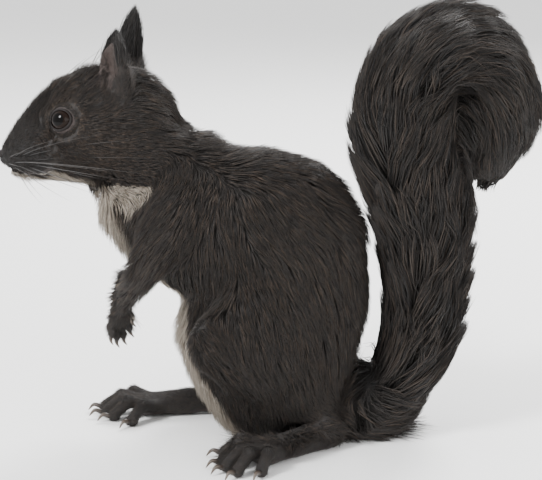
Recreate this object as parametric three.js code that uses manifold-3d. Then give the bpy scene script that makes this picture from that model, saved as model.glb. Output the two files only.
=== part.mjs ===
// A life-size Eurasian red squirrel of the dark phase, sitting on its haunches with its tail raised behind its back.
// Millimetres, +Z up. The squirrel faces -Y and its left side is +X. The floor is Z = 0, below the middle of its
// trunk. Each solid reaches out to the tips of the coat.

import * as THREE from "three";
import { LoftGeometry } from "three/addons/geometries/LoftGeometry.js";
import { mergeVertices } from "three/addons/utils/BufferGeometryUtils.js";
import Module from "manifold-3d";

const wasm = await Module();
wasm.setup();

// ---- Driving dimensions ----

const GAP = 0.3; // clear space between neighbouring solids
const SINK = 0.5; // how far a sole is modelled below the floor before the floor trims it flat
const EYE_RADIUS = 4.7;
const EYE_AT = [13.2, -87, 122.6];
const EAR_WALL = 1.3;
const EAR_REACH = 1.5; // how far an ear is sunk into the head
const FINGER = {
  sides: 5,
  radius: 1.55,
  heights: [0, 0.8, -0.7, -1.1, -1.5, -3.4],
  claw: { length: 2.6, radius: 0.7 },
};
const TOE = {
  sides: 6,
  radius: 2.2,
  heights: [4.8, 7.4, 2.9, 2.2, 3.1, 0.6],
  claw: { length: 5.6, radius: 0.9 },
};
const KNUCKLE = 0.6; // the knuckle's place along a digit
const SEAM = 1.6; // how far outside a limb's own surface the seam around it lies
const SLAB = 100; // half the side of the slabs that part the trunk
const OUTSIDE = 60; // further from the middle than any flesh that a region parts
const MERGE_WITHIN = 1e-4;
const FLAT_WITHIN = 0.08; // a bend smaller than this is left out
const DOME_RINGS = [78, 45]; // degrees round a domed end at which it has rings
const SMALL_DOME = 2.6; // an end shorter than this has one ring

// ---- Materials ----

const coat = new THREE.MeshStandardMaterial({ color: 0x383536, roughness: 0.9, metalness: 0 });
const tailHair = new THREE.MeshStandardMaterial({ color: 0x2f2c2d, roughness: 0.95, metalness: 0 });
const bareSkin = new THREE.MeshStandardMaterial({ color: 0x2a2426, roughness: 0.6, metalness: 0 });
const eyeGloss = new THREE.MeshStandardMaterial({ color: 0x080606, roughness: 0.05, metalness: 0 });
const horn = new THREE.MeshStandardMaterial({ color: 0x2b2422, roughness: 0.4, metalness: 0 });

// ---- Lofts ----

const vector = (p) => new THREE.Vector3(...p);
const between = (a, b, t) => a.map((v, i) => v + (b[i] - v) * t);
const pathOf = (stations) => new THREE.CatmullRomCurve3(stations.map((s) => vector(s.at)), false, "centripetal");

// A closed tube of oval rings through `stations`, each { at: [x, y, z], half: [across, above, below] }. `across` is
// the direction of a ring's width, and above is the path's direction crossed with it. `pear` widens a ring's lower
// side, `round` is the length of the domed end at the start and at the finish, 0 for a flat one, and `span` is the
// share of the path that is used. `grow` makes it fatter all round.
function loft(shape, grow = 0) {
  const { stations, sides = 12, rings = 10, across = [1, 0, 0], pear = 0, round = [0, 0], span = [0, 1] } = shape;
  const path = pathOf(stations);
  const sizes = new THREE.CatmullRomCurve3(stations.map((s) => vector(s.half)), false, "catmullrom", 0.5);

  const ring = (t, push, shrink) => {
    const along = path.getTangent(t);
    const side = vector(across).addScaledVector(along, -vector(across).dot(along)).normalize();
    const up = new THREE.Vector3().crossVectors(along, side);
    const centre = path.getPoint(t).addScaledVector(along, push);
    const half = sizes.getPoint(t).addScalar(grow).multiplyScalar(shrink);
    return Array.from({ length: sides }, (_, i) => {
      const angle = ((i + 0.5) / sides) * 2 * Math.PI;
      const width = half.x * Math.cos(angle) * (1 - pear * Math.sin(angle));
      const height = (Math.sin(angle) > 0 ? half.y : half.z) * Math.sin(angle);
      return centre.clone().addScaledVector(side, width).addScaledVector(up, height);
    });
  };
  const dome = (end, way) =>
    (round[end] > SMALL_DOME ? DOME_RINGS : DOME_RINGS.slice(1)).map((degrees) => {
      const angle = THREE.MathUtils.degToRad(degrees);
      return ring(span[end], way * (round[end] + grow) * Math.sin(angle), Math.cos(angle));
    });

  const sections = [
    ...(round[0] ? dome(0, -1) : []),
    ...Array.from({ length: rings }, (_, i) => ring(span[0] + (span[1] - span[0]) * (i / (rings - 1)), 0, 1)),
    ...(round[1] ? dome(1, 1).reverse() : []),
  ];
  return solid(new LoftGeometry(sections, { capStart: true, capEnd: true }));
}

// A closed three.js geometry as a manifold solid.
function solid(geometry) {
  const bare = new THREE.BufferGeometry();
  bare.setAttribute("position", geometry.getAttribute("position"));
  bare.setIndex(geometry.getIndex());
  const merged = mergeVertices(bare, MERGE_WITHIN);
  return new wasm.Manifold(
    new wasm.Mesh({
      numProp: 3,
      vertProperties: merged.attributes.position.array,
      triVerts: new Uint32Array(merged.index.array),
    }),
  );
}

// An ellipsoid of the given half sizes, turned about X by `pitch` degrees.
function ellipsoid({ at, half, pitch = 0, detail = 12 }, grow = 0) {
  const geometry = new THREE.SphereGeometry(1, detail, Math.round(detail * 0.7));
  geometry.scale(...half.map((h) => h + grow));
  geometry.rotateX(THREE.MathUtils.degToRad(pitch));
  geometry.translate(...at);
  return solid(geometry);
}

// A slab GAP thick, square to `normal`, that parts what it crosses at `at`.
function slab({ at, normal }) {
  const geometry = new THREE.BoxGeometry(2 * SLAB, 2 * SLAB, GAP);
  const along = vector(normal).normalize();
  const side = vector([1, 0, 0]);
  const up = new THREE.Vector3().crossVectors(along, side);
  geometry.applyMatrix4(new THREE.Matrix4().makeBasis(side, up, along).setPosition(...at));
  return solid(geometry);
}

// ---- Head ----

// A slice of the head at `y`, from its underside to its crown, `wide` across.
const slice = (y, underside, crown, wide) => {
  const half = (crown - underside) / 2;
  return { at: [0, y, underside + half], half: [wide / 2, half, half] };
};

const headShape = {
  sides: 14,
  rings: 10,
  pear: 0.18,
  round: [5, 1.8],
  stations: [
    slice(-51, 100.5, 133, 33),
    slice(-59, 96.5, 139.8, 38.5),
    slice(-68, 96.2, 142, 40),
    slice(-77, 96.8, 141.4, 39),
    slice(-85.5, 96.2, 138.3, 34),
    slice(-93, 95, 132.8, 26.6),
    slice(-99, 95.9, 125.5, 20),
    slice(-104, 97.8, 118.4, 15.4),
    slice(-108, 100.9, 113.6, 12),
    slice(-110.8, 103.3, 111.4, 8.6),
  ],
};

const noseShape = { at: [0, -111.9, 108.3], half: [2.7, 2.1, 2.3], pitch: -25, detail: 7 };

const eyeShape = ({ mirror }) => ({ at: mirror(EYE_AT), half: [EYE_RADIUS, EYE_RADIUS, EYE_RADIUS], detail: 10 });

// An ear is a tall cup that opens forwards and outwards, with its tuft of long hair as a tapering point on top.
// `turned` is how far its root lies further back, `lean` how far its point does, and `tall` how much higher it is.
function ear({ mirror, earSet: { turned, lean, tall } }) {
  const across = mirror([0.72, 0.69, 0]);
  const at = ([x, y, z], share) => mirror([x, y + turned + (lean - turned) * share, z + tall * share]);
  const whole = loft({
    sides: 9,
    rings: 7,
    across,
    round: [EAR_REACH, 0],
    stations: [
      { at: at([10.8, -67.4, 134], 0), half: [7.2, 4.4, 4.4] },
      { at: at([11.8, -68.4, 140], 0), half: [8, 4.6, 4.2] },
      { at: at([12.8, -68.8, 145.5], 0.2), half: [7.4, 3.5, 3.2] },
      { at: at([13.6, -68.8, 150.5], 0.5), half: [5, 2.7, 2.4] },
      { at: at([14.1, -68.6, 154.5], 0.8), half: [2.4, 1.7, 1.6] },
      { at: at([14.4, -68.2, 158.5], 1), half: [0.5, 0.5, 0.5] },
    ],
  });
  const cup = loft({
    sides: 6,
    rings: 3,
    across,
    round: [2.5, 2.5],
    stations: [
      { at: at([13, -71.6, 139.5], 0), half: [7 - EAR_WALL, 2.8, 3.2] },
      { at: at([14, -71.5, 144.5], 0.2), half: [6.8 - EAR_WALL, 2.4, 3.2] },
      { at: at([14.6, -70.4, 149], 0.5), half: [4 - EAR_WALL, 1.4, 2.6] },
    ],
  });
  return whole.subtract(cup);
}

// ---- Trunk and neck: the back is bowed, from the rump on the floor up to the nape ----

const trunkShape = {
  sides: 16,
  rings: 13,
  round: [4, 5],
  stations: [
    { at: [0, 3, 3], half: [27.5, 17.5, 24.5] },
    { at: [0, -4, 19], half: [33, 26.5, 34] },
    { at: [0, -8, 37], half: [34.5, 34, 39.5] },
    { at: [0, -10, 56], half: [34.5, 38.5, 37] },
    { at: [0, -15, 72], half: [33, 42.3, 33.8] },
    { at: [0, -26, 85], half: [30.5, 34.2, 39] },
    { at: [0, -38, 93], half: [26.5, 21.8, 38.5] },
    { at: [0, -50, 99.5], half: [23, 21.4, 34.3] },
    { at: [0, -61, 105.5], half: [20.5, 18.6, 28] },
    { at: [0, -69, 110], half: [17.5, 13.6, 19.5] },
  ],
};

// ---- Forelimbs: the elbows are bent and the hands hang in front of the chest ----

const upperArmShape = ({ arm: { shoulder, elbow, facing } }) => ({
  sides: 10,
  rings: 5,
  across: facing,
  round: [9, 6],
  stations: [
    { at: shoulder, half: [9, 12, 12] },
    { at: between(shoulder, elbow, 0.5), half: [9.5, 12.5, 12] },
    { at: elbow, half: [7.6, 9, 8.5] },
  ],
});

const forearmShape = ({ arm: { elbow, wrist, facing } }) => ({
  sides: 10,
  rings: 5,
  across: facing,
  round: [5, 2.5],
  stations: [
    { at: elbow, half: [7, 7.8, 7.6] },
    { at: between(elbow, wrist, 0.4), half: [5.9, 6.5, 6.3] },
    { at: between(elbow, wrist, 0.8), half: [4.5, 5, 5] },
    { at: wrist, half: [3.7, 4.3, 4.3] },
  ],
});

// The part of the body's side that an upper arm takes with it.
const SHOULDER = { at: [-49, 84], half: [15.5, 21.5], tilt: -22, depth: 13 };

// A limb's end in its own axes: `along` runs to the fingertips, `lateral` to the outer side, and the third is its
// back.
function frameOf(origin, along, lateral, back) {
  const a = vector(along).normalize();
  const l = vector(lateral).addScaledVector(a, -vector(lateral).dot(a)).normalize();
  const u = new THREE.Vector3().crossVectors(a, l).normalize();
  if (u.dot(vector(back)) < 0) u.negate();
  const place = ([x, y, z]) =>
    vector(origin).addScaledVector(a, x).addScaledVector(l, y).addScaledVector(u, z).toArray();
  return { place, across: l.toArray() };
}

// A finger or toe bends over a raised knuckle, from its base to its pad, and its claw curves from just ahead of it to
// a fine point. `heights` are those of the base, knuckle and pad, then of the claw's root, bend and tip.
function digit({ place, across }, { base, length, splay }, { sides, radius, heights, claw }) {
  const ahead = length + radius * 0.6 + GAP;
  const reaches = [0, length * KNUCKLE, length, ahead, ahead + claw.length * 0.55, ahead + claw.length];
  const [root, knuckle, pad, clawRoot, bend, tip] = reaches.map((reach, i) =>
    place(splayed(base, reach, splay, heights[i])),
  );
  return {
    flesh: {
      sides,
      rings: 3,
      across,
      round: [0, radius * 0.85],
      stations: [
        { at: root, half: [radius, radius, radius] },
        { at: knuckle, half: [radius * 0.95, radius, radius] },
        { at: pad, half: [radius * 0.9, radius * 0.9, radius * 0.9] },
      ],
    },
    claw: {
      sides: 4,
      rings: 3,
      across,
      stations: [
        { at: clawRoot, half: [claw.radius * 0.7, claw.radius, claw.radius] },
        { at: bend, half: [claw.radius * 0.6, claw.radius * 0.75, claw.radius * 0.75] },
        { at: tip, half: [0.28, 0.28, 0.28] },
      ],
    },
  };
}

// A point `reach` from the base of a digit that is splayed outwards by `degrees`, at `height` on the limb's back.
function splayed([baseAlong, baseLateral], reach, degrees, height) {
  const angle = THREE.MathUtils.degToRad(degrees);
  return [baseAlong + reach * Math.cos(angle), baseLateral + reach * Math.sin(angle), height];
}

// Fingers of a hand and toes of a foot: base as [along, lateral], length, and splay in degrees.
const FINGERS = [
  { base: [5, -2.9], length: 5, splay: -16 },
  { base: [6, -1], length: 6, splay: -5 },
  { base: [6, 1.1], length: 5.8, splay: 6 },
  { base: [5, 3], length: 4.8, splay: 18 },
];
const TOES = [
  { base: [29, -5], length: 14.5, splay: -42 },
  { base: [32, -3.6], length: 15, splay: -14 },
  { base: [34, -0.9], length: 15.5, splay: -3 },
  { base: [33.5, 2.2], length: 16.5, splay: 10 },
  { base: [31, 4.8], length: 13.5, splay: 25 },
];

function handParts({ arm: { wrist, facing }, mirror }) {
  const origin = vector(wrist).add(vector([0, -0.5, -1])).toArray();
  const frame = frameOf(origin, mirror([-0.25, -0.12, -1]), facing, mirror([1, -1, 0]));
  const { place, across } = frame;
  const palm = {
    sides: 8,
    rings: 3,
    across,
    round: [2, 2],
    stations: [
      { at: place([0, 0, 0]), half: [3.3, 3.2, 3.2] },
      { at: place([3.5, 0, 0]), half: [4.4, 2.8, 2.9] },
      { at: place([6, 0, 0]), half: [4.5, 2.3, 2.4] },
    ],
  };
  const fingers = FINGERS.map((finger) => digit(frame, finger, FINGER));
  return { flesh: [palm, ...fingers.map((f) => f.flesh)], claws: fingers.map((f) => f.claw) };
}

// ---- Hind limbs: the left foot is turned out, and the right foot reaches ahead ----

const thighShape = ({ leg: { hip, knee } }) => ({
  sides: 12,
  rings: 5,
  round: [13, 8],
  stations: [
    { at: hip, half: [13, 28, 27] },
    { at: between(hip, knee, 0.45), half: [14, 26, 27] },
    { at: between(hip, knee, 0.8), half: [12, 17, 21] },
    { at: knee, half: [9.5, 11, 14] },
  ],
});

// The part of the body's side that a thigh takes with it.
const HAUNCH = { at: [-11, 44], half: [37.5, 31], tilt: 14, depth: 20 };

const shankShape = ({ leg: { knee, ankle } }) => ({
  sides: 10,
  rings: 5,
  round: [7, 4],
  stations: [
    { at: knee, half: [8.5, 9, 10] },
    { at: between(knee, ankle, 0.4), half: [9, 12, 14] },
    { at: between(knee, ankle, 0.8), half: [7, 8.5, 10] },
    { at: ankle, half: [5.6, 6, 6.4] },
  ],
});

function footParts({ leg: { heel, heading, outwards } }) {
  const angle = THREE.MathUtils.degToRad(heading);
  const along = [outwards * Math.sin(angle), -Math.cos(angle), 0];
  const lateral = [outwards * Math.cos(angle), Math.sin(angle), 0];
  const frame = frameOf([...heel, 0], along, lateral, [0, 0, 1]);
  const { place, across } = frame;
  // A ring's upper side is its path crossed with its width, so it is the foot's underside on the right foot.
  const station = (reach, wide, height, above) => {
    const below = height + SINK;
    return { at: place([reach, 0, height]), half: outwards > 0 ? [wide, above, below] : [wide, below, above] };
  };
  const sole = {
    sides: 8,
    rings: 5,
    across,
    round: [2.5, 2.5],
    stations: [station(1, 4.8, 5, 6), station(12, 5.4, 5, 6), station(24, 6.4, 4.6, 5.4), station(34, 7, 4, 4.6)],
  };
  const toes = TOES.map((toe) => digit(frame, toe, TOE));
  return { flesh: [sole, ...toes.map((t) => t.flesh)], claws: toes.map((t) => t.claw) };
}

// ---- The two sides of the body ----

const SIDES = [
  {
    name: "left",
    mirror: (p) => p,
    earSet: { turned: 0, lean: 1, tall: -1.5 },
    arm: { shoulder: [19, -45, 93], elbow: [23.7, -55, 71], wrist: [14, -66.8, 53.4], facing: [0.75, -0.66, 0] },
    leg: { hip: [24, -6, 45], knee: [28.5, -34, 42], ankle: [21, 7, 11], heel: [21, 12], heading: 40, outwards: 1 },
  },
  {
    name: "right",
    mirror: ([x, y, z]) => [-x, y, z],
    earSet: { turned: 3, lean: 6, tall: 4.5 },
    arm: { shoulder: [-19, -44, 93], elbow: [-23.5, -50, 71], wrist: [-13.5, -67.3, 53], facing: [-0.75, -0.66, 0] },
    leg: {
      hip: [-24, -6, 46],
      knee: [-28, -34, 47],
      ankle: [-22, -25, 11],
      heel: [-22, -27],
      heading: -6,
      outwards: -1,
    },
  },
];

// Planes at which an arm, a lower leg and the trunk are parted.
const armJoins = ({ arm: { elbow, wrist }, mirror }) => [
  { at: elbow, normal: mirror([-0.1, -0.48, -0.86]) },
  { at: between(elbow, wrist, 0.98), normal: mirror([-0.3, -0.3, -0.9]) },
];
const ankleJoin = ({ leg: { ankle } }) => [{ at: [ankle[0], ankle[1], 9.6], normal: [0, 0.35, 0.94] }];
const HEAD_JOIN = { at: [0, -62.5, 106.5], normal: [0, -26, 34] };
const NECK_JOIN = { at: [0, -51, 98], normal: [0, -33, 31] };

// ---- Tail: rises behind the back and curls over backwards at its end ----

const TAIL = [
  { at: [0, 8, 5], half: [24, 6, 11] },
  { at: [0, 22, 6], half: [26.5, 9, 18.5] },
  { at: [0, 36, 16], half: [26.5, 13.5, 19.5] },
  { at: [0, 45, 35], half: [26, 14.4, 16.3] },
  { at: [0, 48, 57], half: [27, 16.5, 17] },
  { at: [0, 46.5, 80], half: [28.5, 19.4, 18.8] },
  { at: [0, 43, 101], half: [29, 22, 21.6] },
  { at: [0, 41.5, 121], half: [29, 17.5, 24.6] },
  { at: [0, 46, 136], half: [28.5, 13, 24.8] },
  { at: [0, 55.5, 144], half: [27.5, 12, 22.6] },
  { at: [0, 66, 141.5], half: [26, 12, 21] },
  { at: [0, 73, 131], half: [23.5, 12, 18.2] },
  { at: [0, 74.5, 116], half: [19, 14.5, 15.2] },
  { at: [0, 71.5, 103], half: [11, 11, 9] },
];

// The middle of the curl, that the tail's tip closes round.
const curlShape = { at: [0, 62.5, 125.5], half: [24, 9.5, 17.5], detail: 10 };

// Lengths of the tail, each between two stations of its path, with `rings` rings. The last one is placed first, and
// the rest make room for it where it curls back against them.
const TAIL_LENGTHS = [
  { name: "tail_tip", from: 10, to: 13, rings: 7, round: [0, 5] },
  { name: "tail_root", from: 0, to: 2, rings: 5, round: [4, 0] },
  { name: "tail_lower", from: 2, to: 5, rings: 5, round: [0, 0] },
  { name: "tail_middle", from: 5, to: 8, rings: 5, round: [0, 0] },
  { name: "tail_upper", from: 8, to: 10, rings: 5, round: [0, 0] },
];

function tailShape({ from, to, rings, round }) {
  const last = TAIL.length - 1;
  const spacing = pathOf(TAIL).getLength() / last;
  const inset = (station) => (station === 0 || station === last ? 0 : GAP / 2 / spacing);
  return { sides: 14, rings, round, stations: TAIL, span: [(from + inset(from)) / last, (to - inset(to)) / last] };
}

// ---- Putting the animal together ----

const union = (solids) => solids.reduce((a, b) => a.add(b));
const lofts = (shapes, grow = 0) => union(shapes.map((shape) => loft(shape, grow)));
const volume = (body) => body.volume();
const largest = (body) => body.decompose().sort((a, b) => volume(b) - volume(a))[0];
const underFloor = solid(new THREE.BoxGeometry(400, 400, 60).translate(0, 0, -30));

const model = new THREE.Group();

function add(name, material, body) {
  const { vertProperties, triVerts } = largest(body).simplify(FLAT_WITHIN).getMesh();
  const geometry = new THREE.BufferGeometry();
  geometry.setAttribute("position", new THREE.BufferAttribute(vertProperties, 3));
  geometry.setIndex(new THREE.BufferAttribute(triVerts, 1));
  geometry.computeVertexNormals();
  const mesh = new THREE.Mesh(geometry, material);
  mesh.name = name;
  model.add(mesh);
}

// The bare pieces come first, with the room that each one takes out of the flesh.
const roomForBare = [];
function addBare(name, material, shape) {
  add(name, material, shape(0));
  roomForBare.push(shape(GAP));
}
addBare("nose", bareSkin, (grow) => ellipsoid(noseShape, grow));
for (const side of SIDES) {
  addBare(`eye_${side.name}`, eyeGloss, (grow) => ellipsoid(eyeShape(side), grow));
  for (const [end, { claws }] of [["hand", handParts(side)], ["foot", footParts(side)]]) {
    claws.forEach((claw, i) => addBare(`claw_${end}_${side.name}_${i + 1}`, horn, (grow) => loft(claw, grow)));
  }
}

// The flesh is one body. Regions that lie a little outside the limbs part them from the trunk, and planes part the
// limbs and the trunk into their named pieces. A region is an oval seen from the side, from `depth` outwards, and the
// lofts of the limb that reach past it.
function regionOf({ mirror }, { at: [y, z], half: [long, high], tilt, depth }, grow) {
  const angle = THREE.MathUtils.degToRad(tilt);
  const stations = [depth - grow, OUTSIDE].map((x) => ({ at: mirror([x, y, z]), half: [long, high, high] }));
  return loft({ stations, sides: 16, rings: 2, across: [0, Math.cos(angle), Math.sin(angle)] }, grow);
}

const limbs = SIDES.flatMap((side) => {
  const arm = [forearmShape(side), ...handParts(side).flesh];
  const lowerLeg = [shankShape(side), ...footParts(side).flesh];
  return [
    {
      names: ["thigh"],
      flesh: loft(thighShape(side)),
      joins: [],
      reach: (grow) => regionOf(side, HAUNCH, grow),
    },
    {
      names: ["upper_arm", "forearm", "hand"],
      flesh: lofts([upperArmShape(side), ...arm]),
      joins: armJoins(side),
      reach: (grow) => regionOf(side, SHOULDER, grow).add(lofts(arm, grow + SEAM)),
    },
    {
      names: ["shank", "foot"],
      flesh: lofts(lowerLeg),
      joins: ankleJoin(side),
      reach: (grow) => lofts(lowerLeg, grow + SEAM),
    },
  ].map((limb) => ({ ...limb, names: limb.names.map((name) => `${name}_${side.name}`) }));
});
const flesh = union([loft(trunkShape), loft(headShape), ...limbs.map((l) => l.flesh)])
  .subtract(underFloor)
  .subtract(union(roomForBare));

// Adds the pieces of a body that planes part, named from the highest to the lowest.
function addParted(names, body, joins) {
  const pieces = joins.reduce((b, join) => b.subtract(slab(join)), body).decompose();
  const top = (piece) => piece.boundingBox().max[2];
  const kept = pieces.sort((a, b) => volume(b) - volume(a)).slice(0, names.length).sort((a, b) => top(b) - top(a));
  names.forEach((name, i) => add(name, coat, kept[i]));
}

let rest = flesh;
for (const { names, joins, reach } of limbs) {
  addParted(names, rest.intersect(reach(0)), joins);
  rest = rest.subtract(reach(GAP));
}
addParted(["head", "neck", "trunk"], rest, [HEAD_JOIN, NECK_JOIN]);

for (const side of SIDES) add(`ear_${side.name}`, coat, ear(side).subtract(loft(headShape, GAP)));

// The tail is cut back from the body.
const legs = SIDES.flatMap((side) => [thighShape(side), shankShape(side), ...footParts(side).flesh]);
let taken = lofts([trunkShape, ...legs], GAP);
for (const length of TAIL_LENGTHS) {
  const isTip = length.name === "tail_tip";
  const shape = tailShape(length);
  const body = (grow) => (isTip ? loft(shape, grow).add(ellipsoid(curlShape, grow)) : loft(shape, grow));
  add(length.name, tailHair, body(0).subtract(underFloor).subtract(taken));
  if (isTip) taken = taken.add(body(GAP));
}

export default model;
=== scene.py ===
"""A life-size Eurasian red squirrel of the dark phase, sitting up: its skin, coat, face, claws and studio.

Lengths are millimetres until a mesh is made. The squirrel faces -Y and its left side is +X.
"""

import math
from collections import namedtuple

import bmesh
import bpy
import numpy as np
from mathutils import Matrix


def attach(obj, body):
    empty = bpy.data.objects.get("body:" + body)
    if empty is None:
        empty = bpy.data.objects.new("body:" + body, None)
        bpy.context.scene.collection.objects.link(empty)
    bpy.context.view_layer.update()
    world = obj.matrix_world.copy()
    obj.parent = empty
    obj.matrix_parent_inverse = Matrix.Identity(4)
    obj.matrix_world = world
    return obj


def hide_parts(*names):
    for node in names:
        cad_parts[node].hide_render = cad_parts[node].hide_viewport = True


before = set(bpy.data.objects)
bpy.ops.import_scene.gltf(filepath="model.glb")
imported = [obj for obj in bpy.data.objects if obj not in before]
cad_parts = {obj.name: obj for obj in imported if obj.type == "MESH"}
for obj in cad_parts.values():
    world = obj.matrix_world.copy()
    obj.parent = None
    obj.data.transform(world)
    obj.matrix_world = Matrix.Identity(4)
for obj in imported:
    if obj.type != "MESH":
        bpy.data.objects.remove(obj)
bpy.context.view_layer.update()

import openvdb
from mathutils import Vector, kdtree

MM = 0.001
TINY = 1e-9
rng = np.random.default_rng(11)

# ---- Sizes shared with the solids ----

EYE_RADIUS = 4.7
EYE_AT = (13.2, -87, 122.6)
NOSE_AT = (0, -111.9, 108.2)
NOSE_HALF = (2.2, 1.7, 1.8)

# Slices of the head: y, underside, crown, width.
HEAD = [
    (-110.8, 103.6, 113.6, 8.8),
    (-108, 102.1, 118.4, 12),
    (-104, 98.6, 123.8, 15.4),
    (-99, 97, 129.4, 20.2),
    (-93, 96.9, 135.3, 26.8),
    (-85.5, 97.8, 140.7, 34),
    (-77, 97.3, 143, 39),
    (-68, 96.2, 142.7, 40),
    (-59, 96.5, 139.8, 38.5),
    (-51, 100.5, 133, 33),
]
HEAD_PEAR = 0.18  # how much narrower the crown is than the jaw
BRIDGE_PINCH = 0.22  # how much narrower the bridge of the nose is
HEAD_DOMES = (1.8, 5)  # how far the head bulges past its first and last slices

# Stations of the tail: place, and half sizes across, on the inner side of its curl and on the outer side.
TAIL = [
    ((0, 8, 5), (24, 6, 11)),
    ((0, 22, 6), (26.5, 9, 18.5)),
    ((0, 36, 16), (26.5, 13.5, 19.5)),
    ((0, 45, 35), (26, 14.4, 16.3)),
    ((0, 48, 57), (27, 16.5, 17)),
    ((0, 46.5, 80), (28.5, 19.4, 18.8)),
    ((0, 43, 101), (29, 22, 21.6)),
    ((0, 41.5, 121), (29, 17.5, 24.6)),
    ((0, 46, 136), (28.5, 13, 24.8)),
    ((0, 55.5, 144), (27.5, 12, 22.6)),
    ((0, 66, 141.5), (26, 12, 21)),
    ((0, 73, 131), (23.5, 12, 18.2)),
    ((0, 74.5, 116), (19, 14.5, 15.2)),
    ((0, 71.5, 103), (11, 11, 9)),
]

# The line up the middle of an ear, and its tip: a place, and how far it shares in the ear's lean and height.
EAR_LINE = [((10.8, -67.4, 134), 0), ((13.6, -68.8, 150.5), 0.5)]
EAR_TIP = ((14.4, -68.2, 158.5), 1)
# Stations of the bare ear and of the hollow in it: place, half sizes across, behind and in front, and that share.
PINNA = [
    ((10.8, -67.4, 133), (6.6, 3.2, 3.4), 0),
    ((11.8, -68.4, 139.5), (7.6, 3, 3.8), 0),
    ((12.8, -68.8, 145), (6.6, 2.2, 2.8), 0.2),
    ((13.4, -68.8, 149), (4.2, 1.5, 1.9), 0.45),
    ((13.8, -68.7, 152), (1.5, 0.9, 1), 0.65),
]
EAR_HOLLOW = [
    ((13.4, -72.6, 137.5), (3.8, 3.2, 3), 0),
    ((13.2, -72.3, 140.5), (6, 4.2, 3.6), 0),
    ((14.1, -71.7, 145.5), (5.2, 3.4, 3.2), 0.2),
    ((14.7, -70.7, 149.3), (2.6, 2, 2.2), 0.45),
]
EAR_ACROSS = (0.72, 0.69, 0)

Side = namedtuple("Side", "name sign turned lean tall shoulder elbow wrist facing knee ankle heel heading")
SIDES = [
    Side("left", 1, 0, 1, -1.5, (19, -45, 93), (23.7, -55, 71), (14, -66.8, 53.4), (0.75, -0.66, 0),
         (28.5, -34, 42), (21, 7, 11), (21, 12), 40),
    Side("right", -1, 3, 6, 4.5, (-19, -44, 93), (-23.5, -50, 71), (-13.5, -67.3, 53), (-0.75, -0.66, 0),
         (-28, -34, 47), (-22, -25, 11), (-22, -27), -6),
]

# Digits. A row holds the base's place along and across the hand or foot, the length, and the splay in degrees. The
# heights are those of the base, the knuckle, the pad, and the claw's root, bend and tip.
Digits = namedtuple("Digits", "rows radius heights claw_length claw_radius")
FINGERS = Digits(
    [(5, -2.9, 5, -16), (6, -1, 6, -5), (6, 1.1, 5.8, 6), (5, 3, 4.8, 18)],
    1.55, (0, 0.8, -0.7, -1.1, -1.5, -3.4), 2.6, 0.7,
)
TOES = Digits(
    [(29, -5, 14.5, -42), (32, -3.6, 15, -14), (34, -0.9, 15.5, -3), (33.5, 2.2, 16.5, 10), (31, 4.8, 13.5, 25)],
    2.2, (4.8, 7.4, 2.9, 2.2, 3.1, 0.6), 5.6, 0.9,
)
DIGIT_GAP = 0.3
KNUCKLE = 0.6  # the knuckle's place along a digit
CLAW_ROOT = 0.6  # how far a digit reaches past its pad, in radii
CLAW_BEND = 0.55  # the bend's place along a claw

# ---- The coat ----

# How thick the coat lies on the skin, how long and wide a lock is, how many grow on a square millimetre, how far the
# locks gather into tufts, and how many millimetres apart the tufts are.
Fur = namedtuple("Fur", "depth length width share gather spacing")
MUZZLE = Fur(0.35, 1.5, 0.17, 13.0, 0, 3)
BRIDGE = Fur(0.5, 2.6, 0.2, 9.5, 0.05, 3)
CHEEK = Fur(1.6, 4.6, 0.26, 4.7, 0.12, 3)
CROWN = Fur(1.8, 5.0, 0.28, 4.15, 0.15, 3)
THROAT = Fur(2.4, 6.8, 0.35, 2.8, 0.25, 4)
CHEST = Fur(4.2, 11.5, 0.39, 2.1, 0.4, 4.5)
BACK = Fur(4.0, 11.5, 0.385, 2.12, 0.35, 4.5)
THIGH = Fur(3.6, 10.5, 0.375, 2.1, 0.35, 4.5)
UPPER_ARM = Fur(2.6, 8.0, 0.35, 2.4, 0.3, 4)
FOREARM = Fur(1.5, 4.6, 0.3, 3.6, 0.25, 3)
SHANK = Fur(1.8, 6.2, 0.33, 2.6, 0.25, 4)
PAW = Fur(0.3, 1.9, 0.2, 6.0, 0.1, 3)
EAR_FUR = Fur(0.35, 2.6, 0.2, 7.0, 0.1, 3)
BRUSH = Fur(12, 27, 0.54, 1.74, 0.6, 6)

# A line of the coat: its part, its ends, how far from it the coat follows it, and the fur along it.
Bone = namedtuple("Bone", "part start end reach fur")


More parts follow.
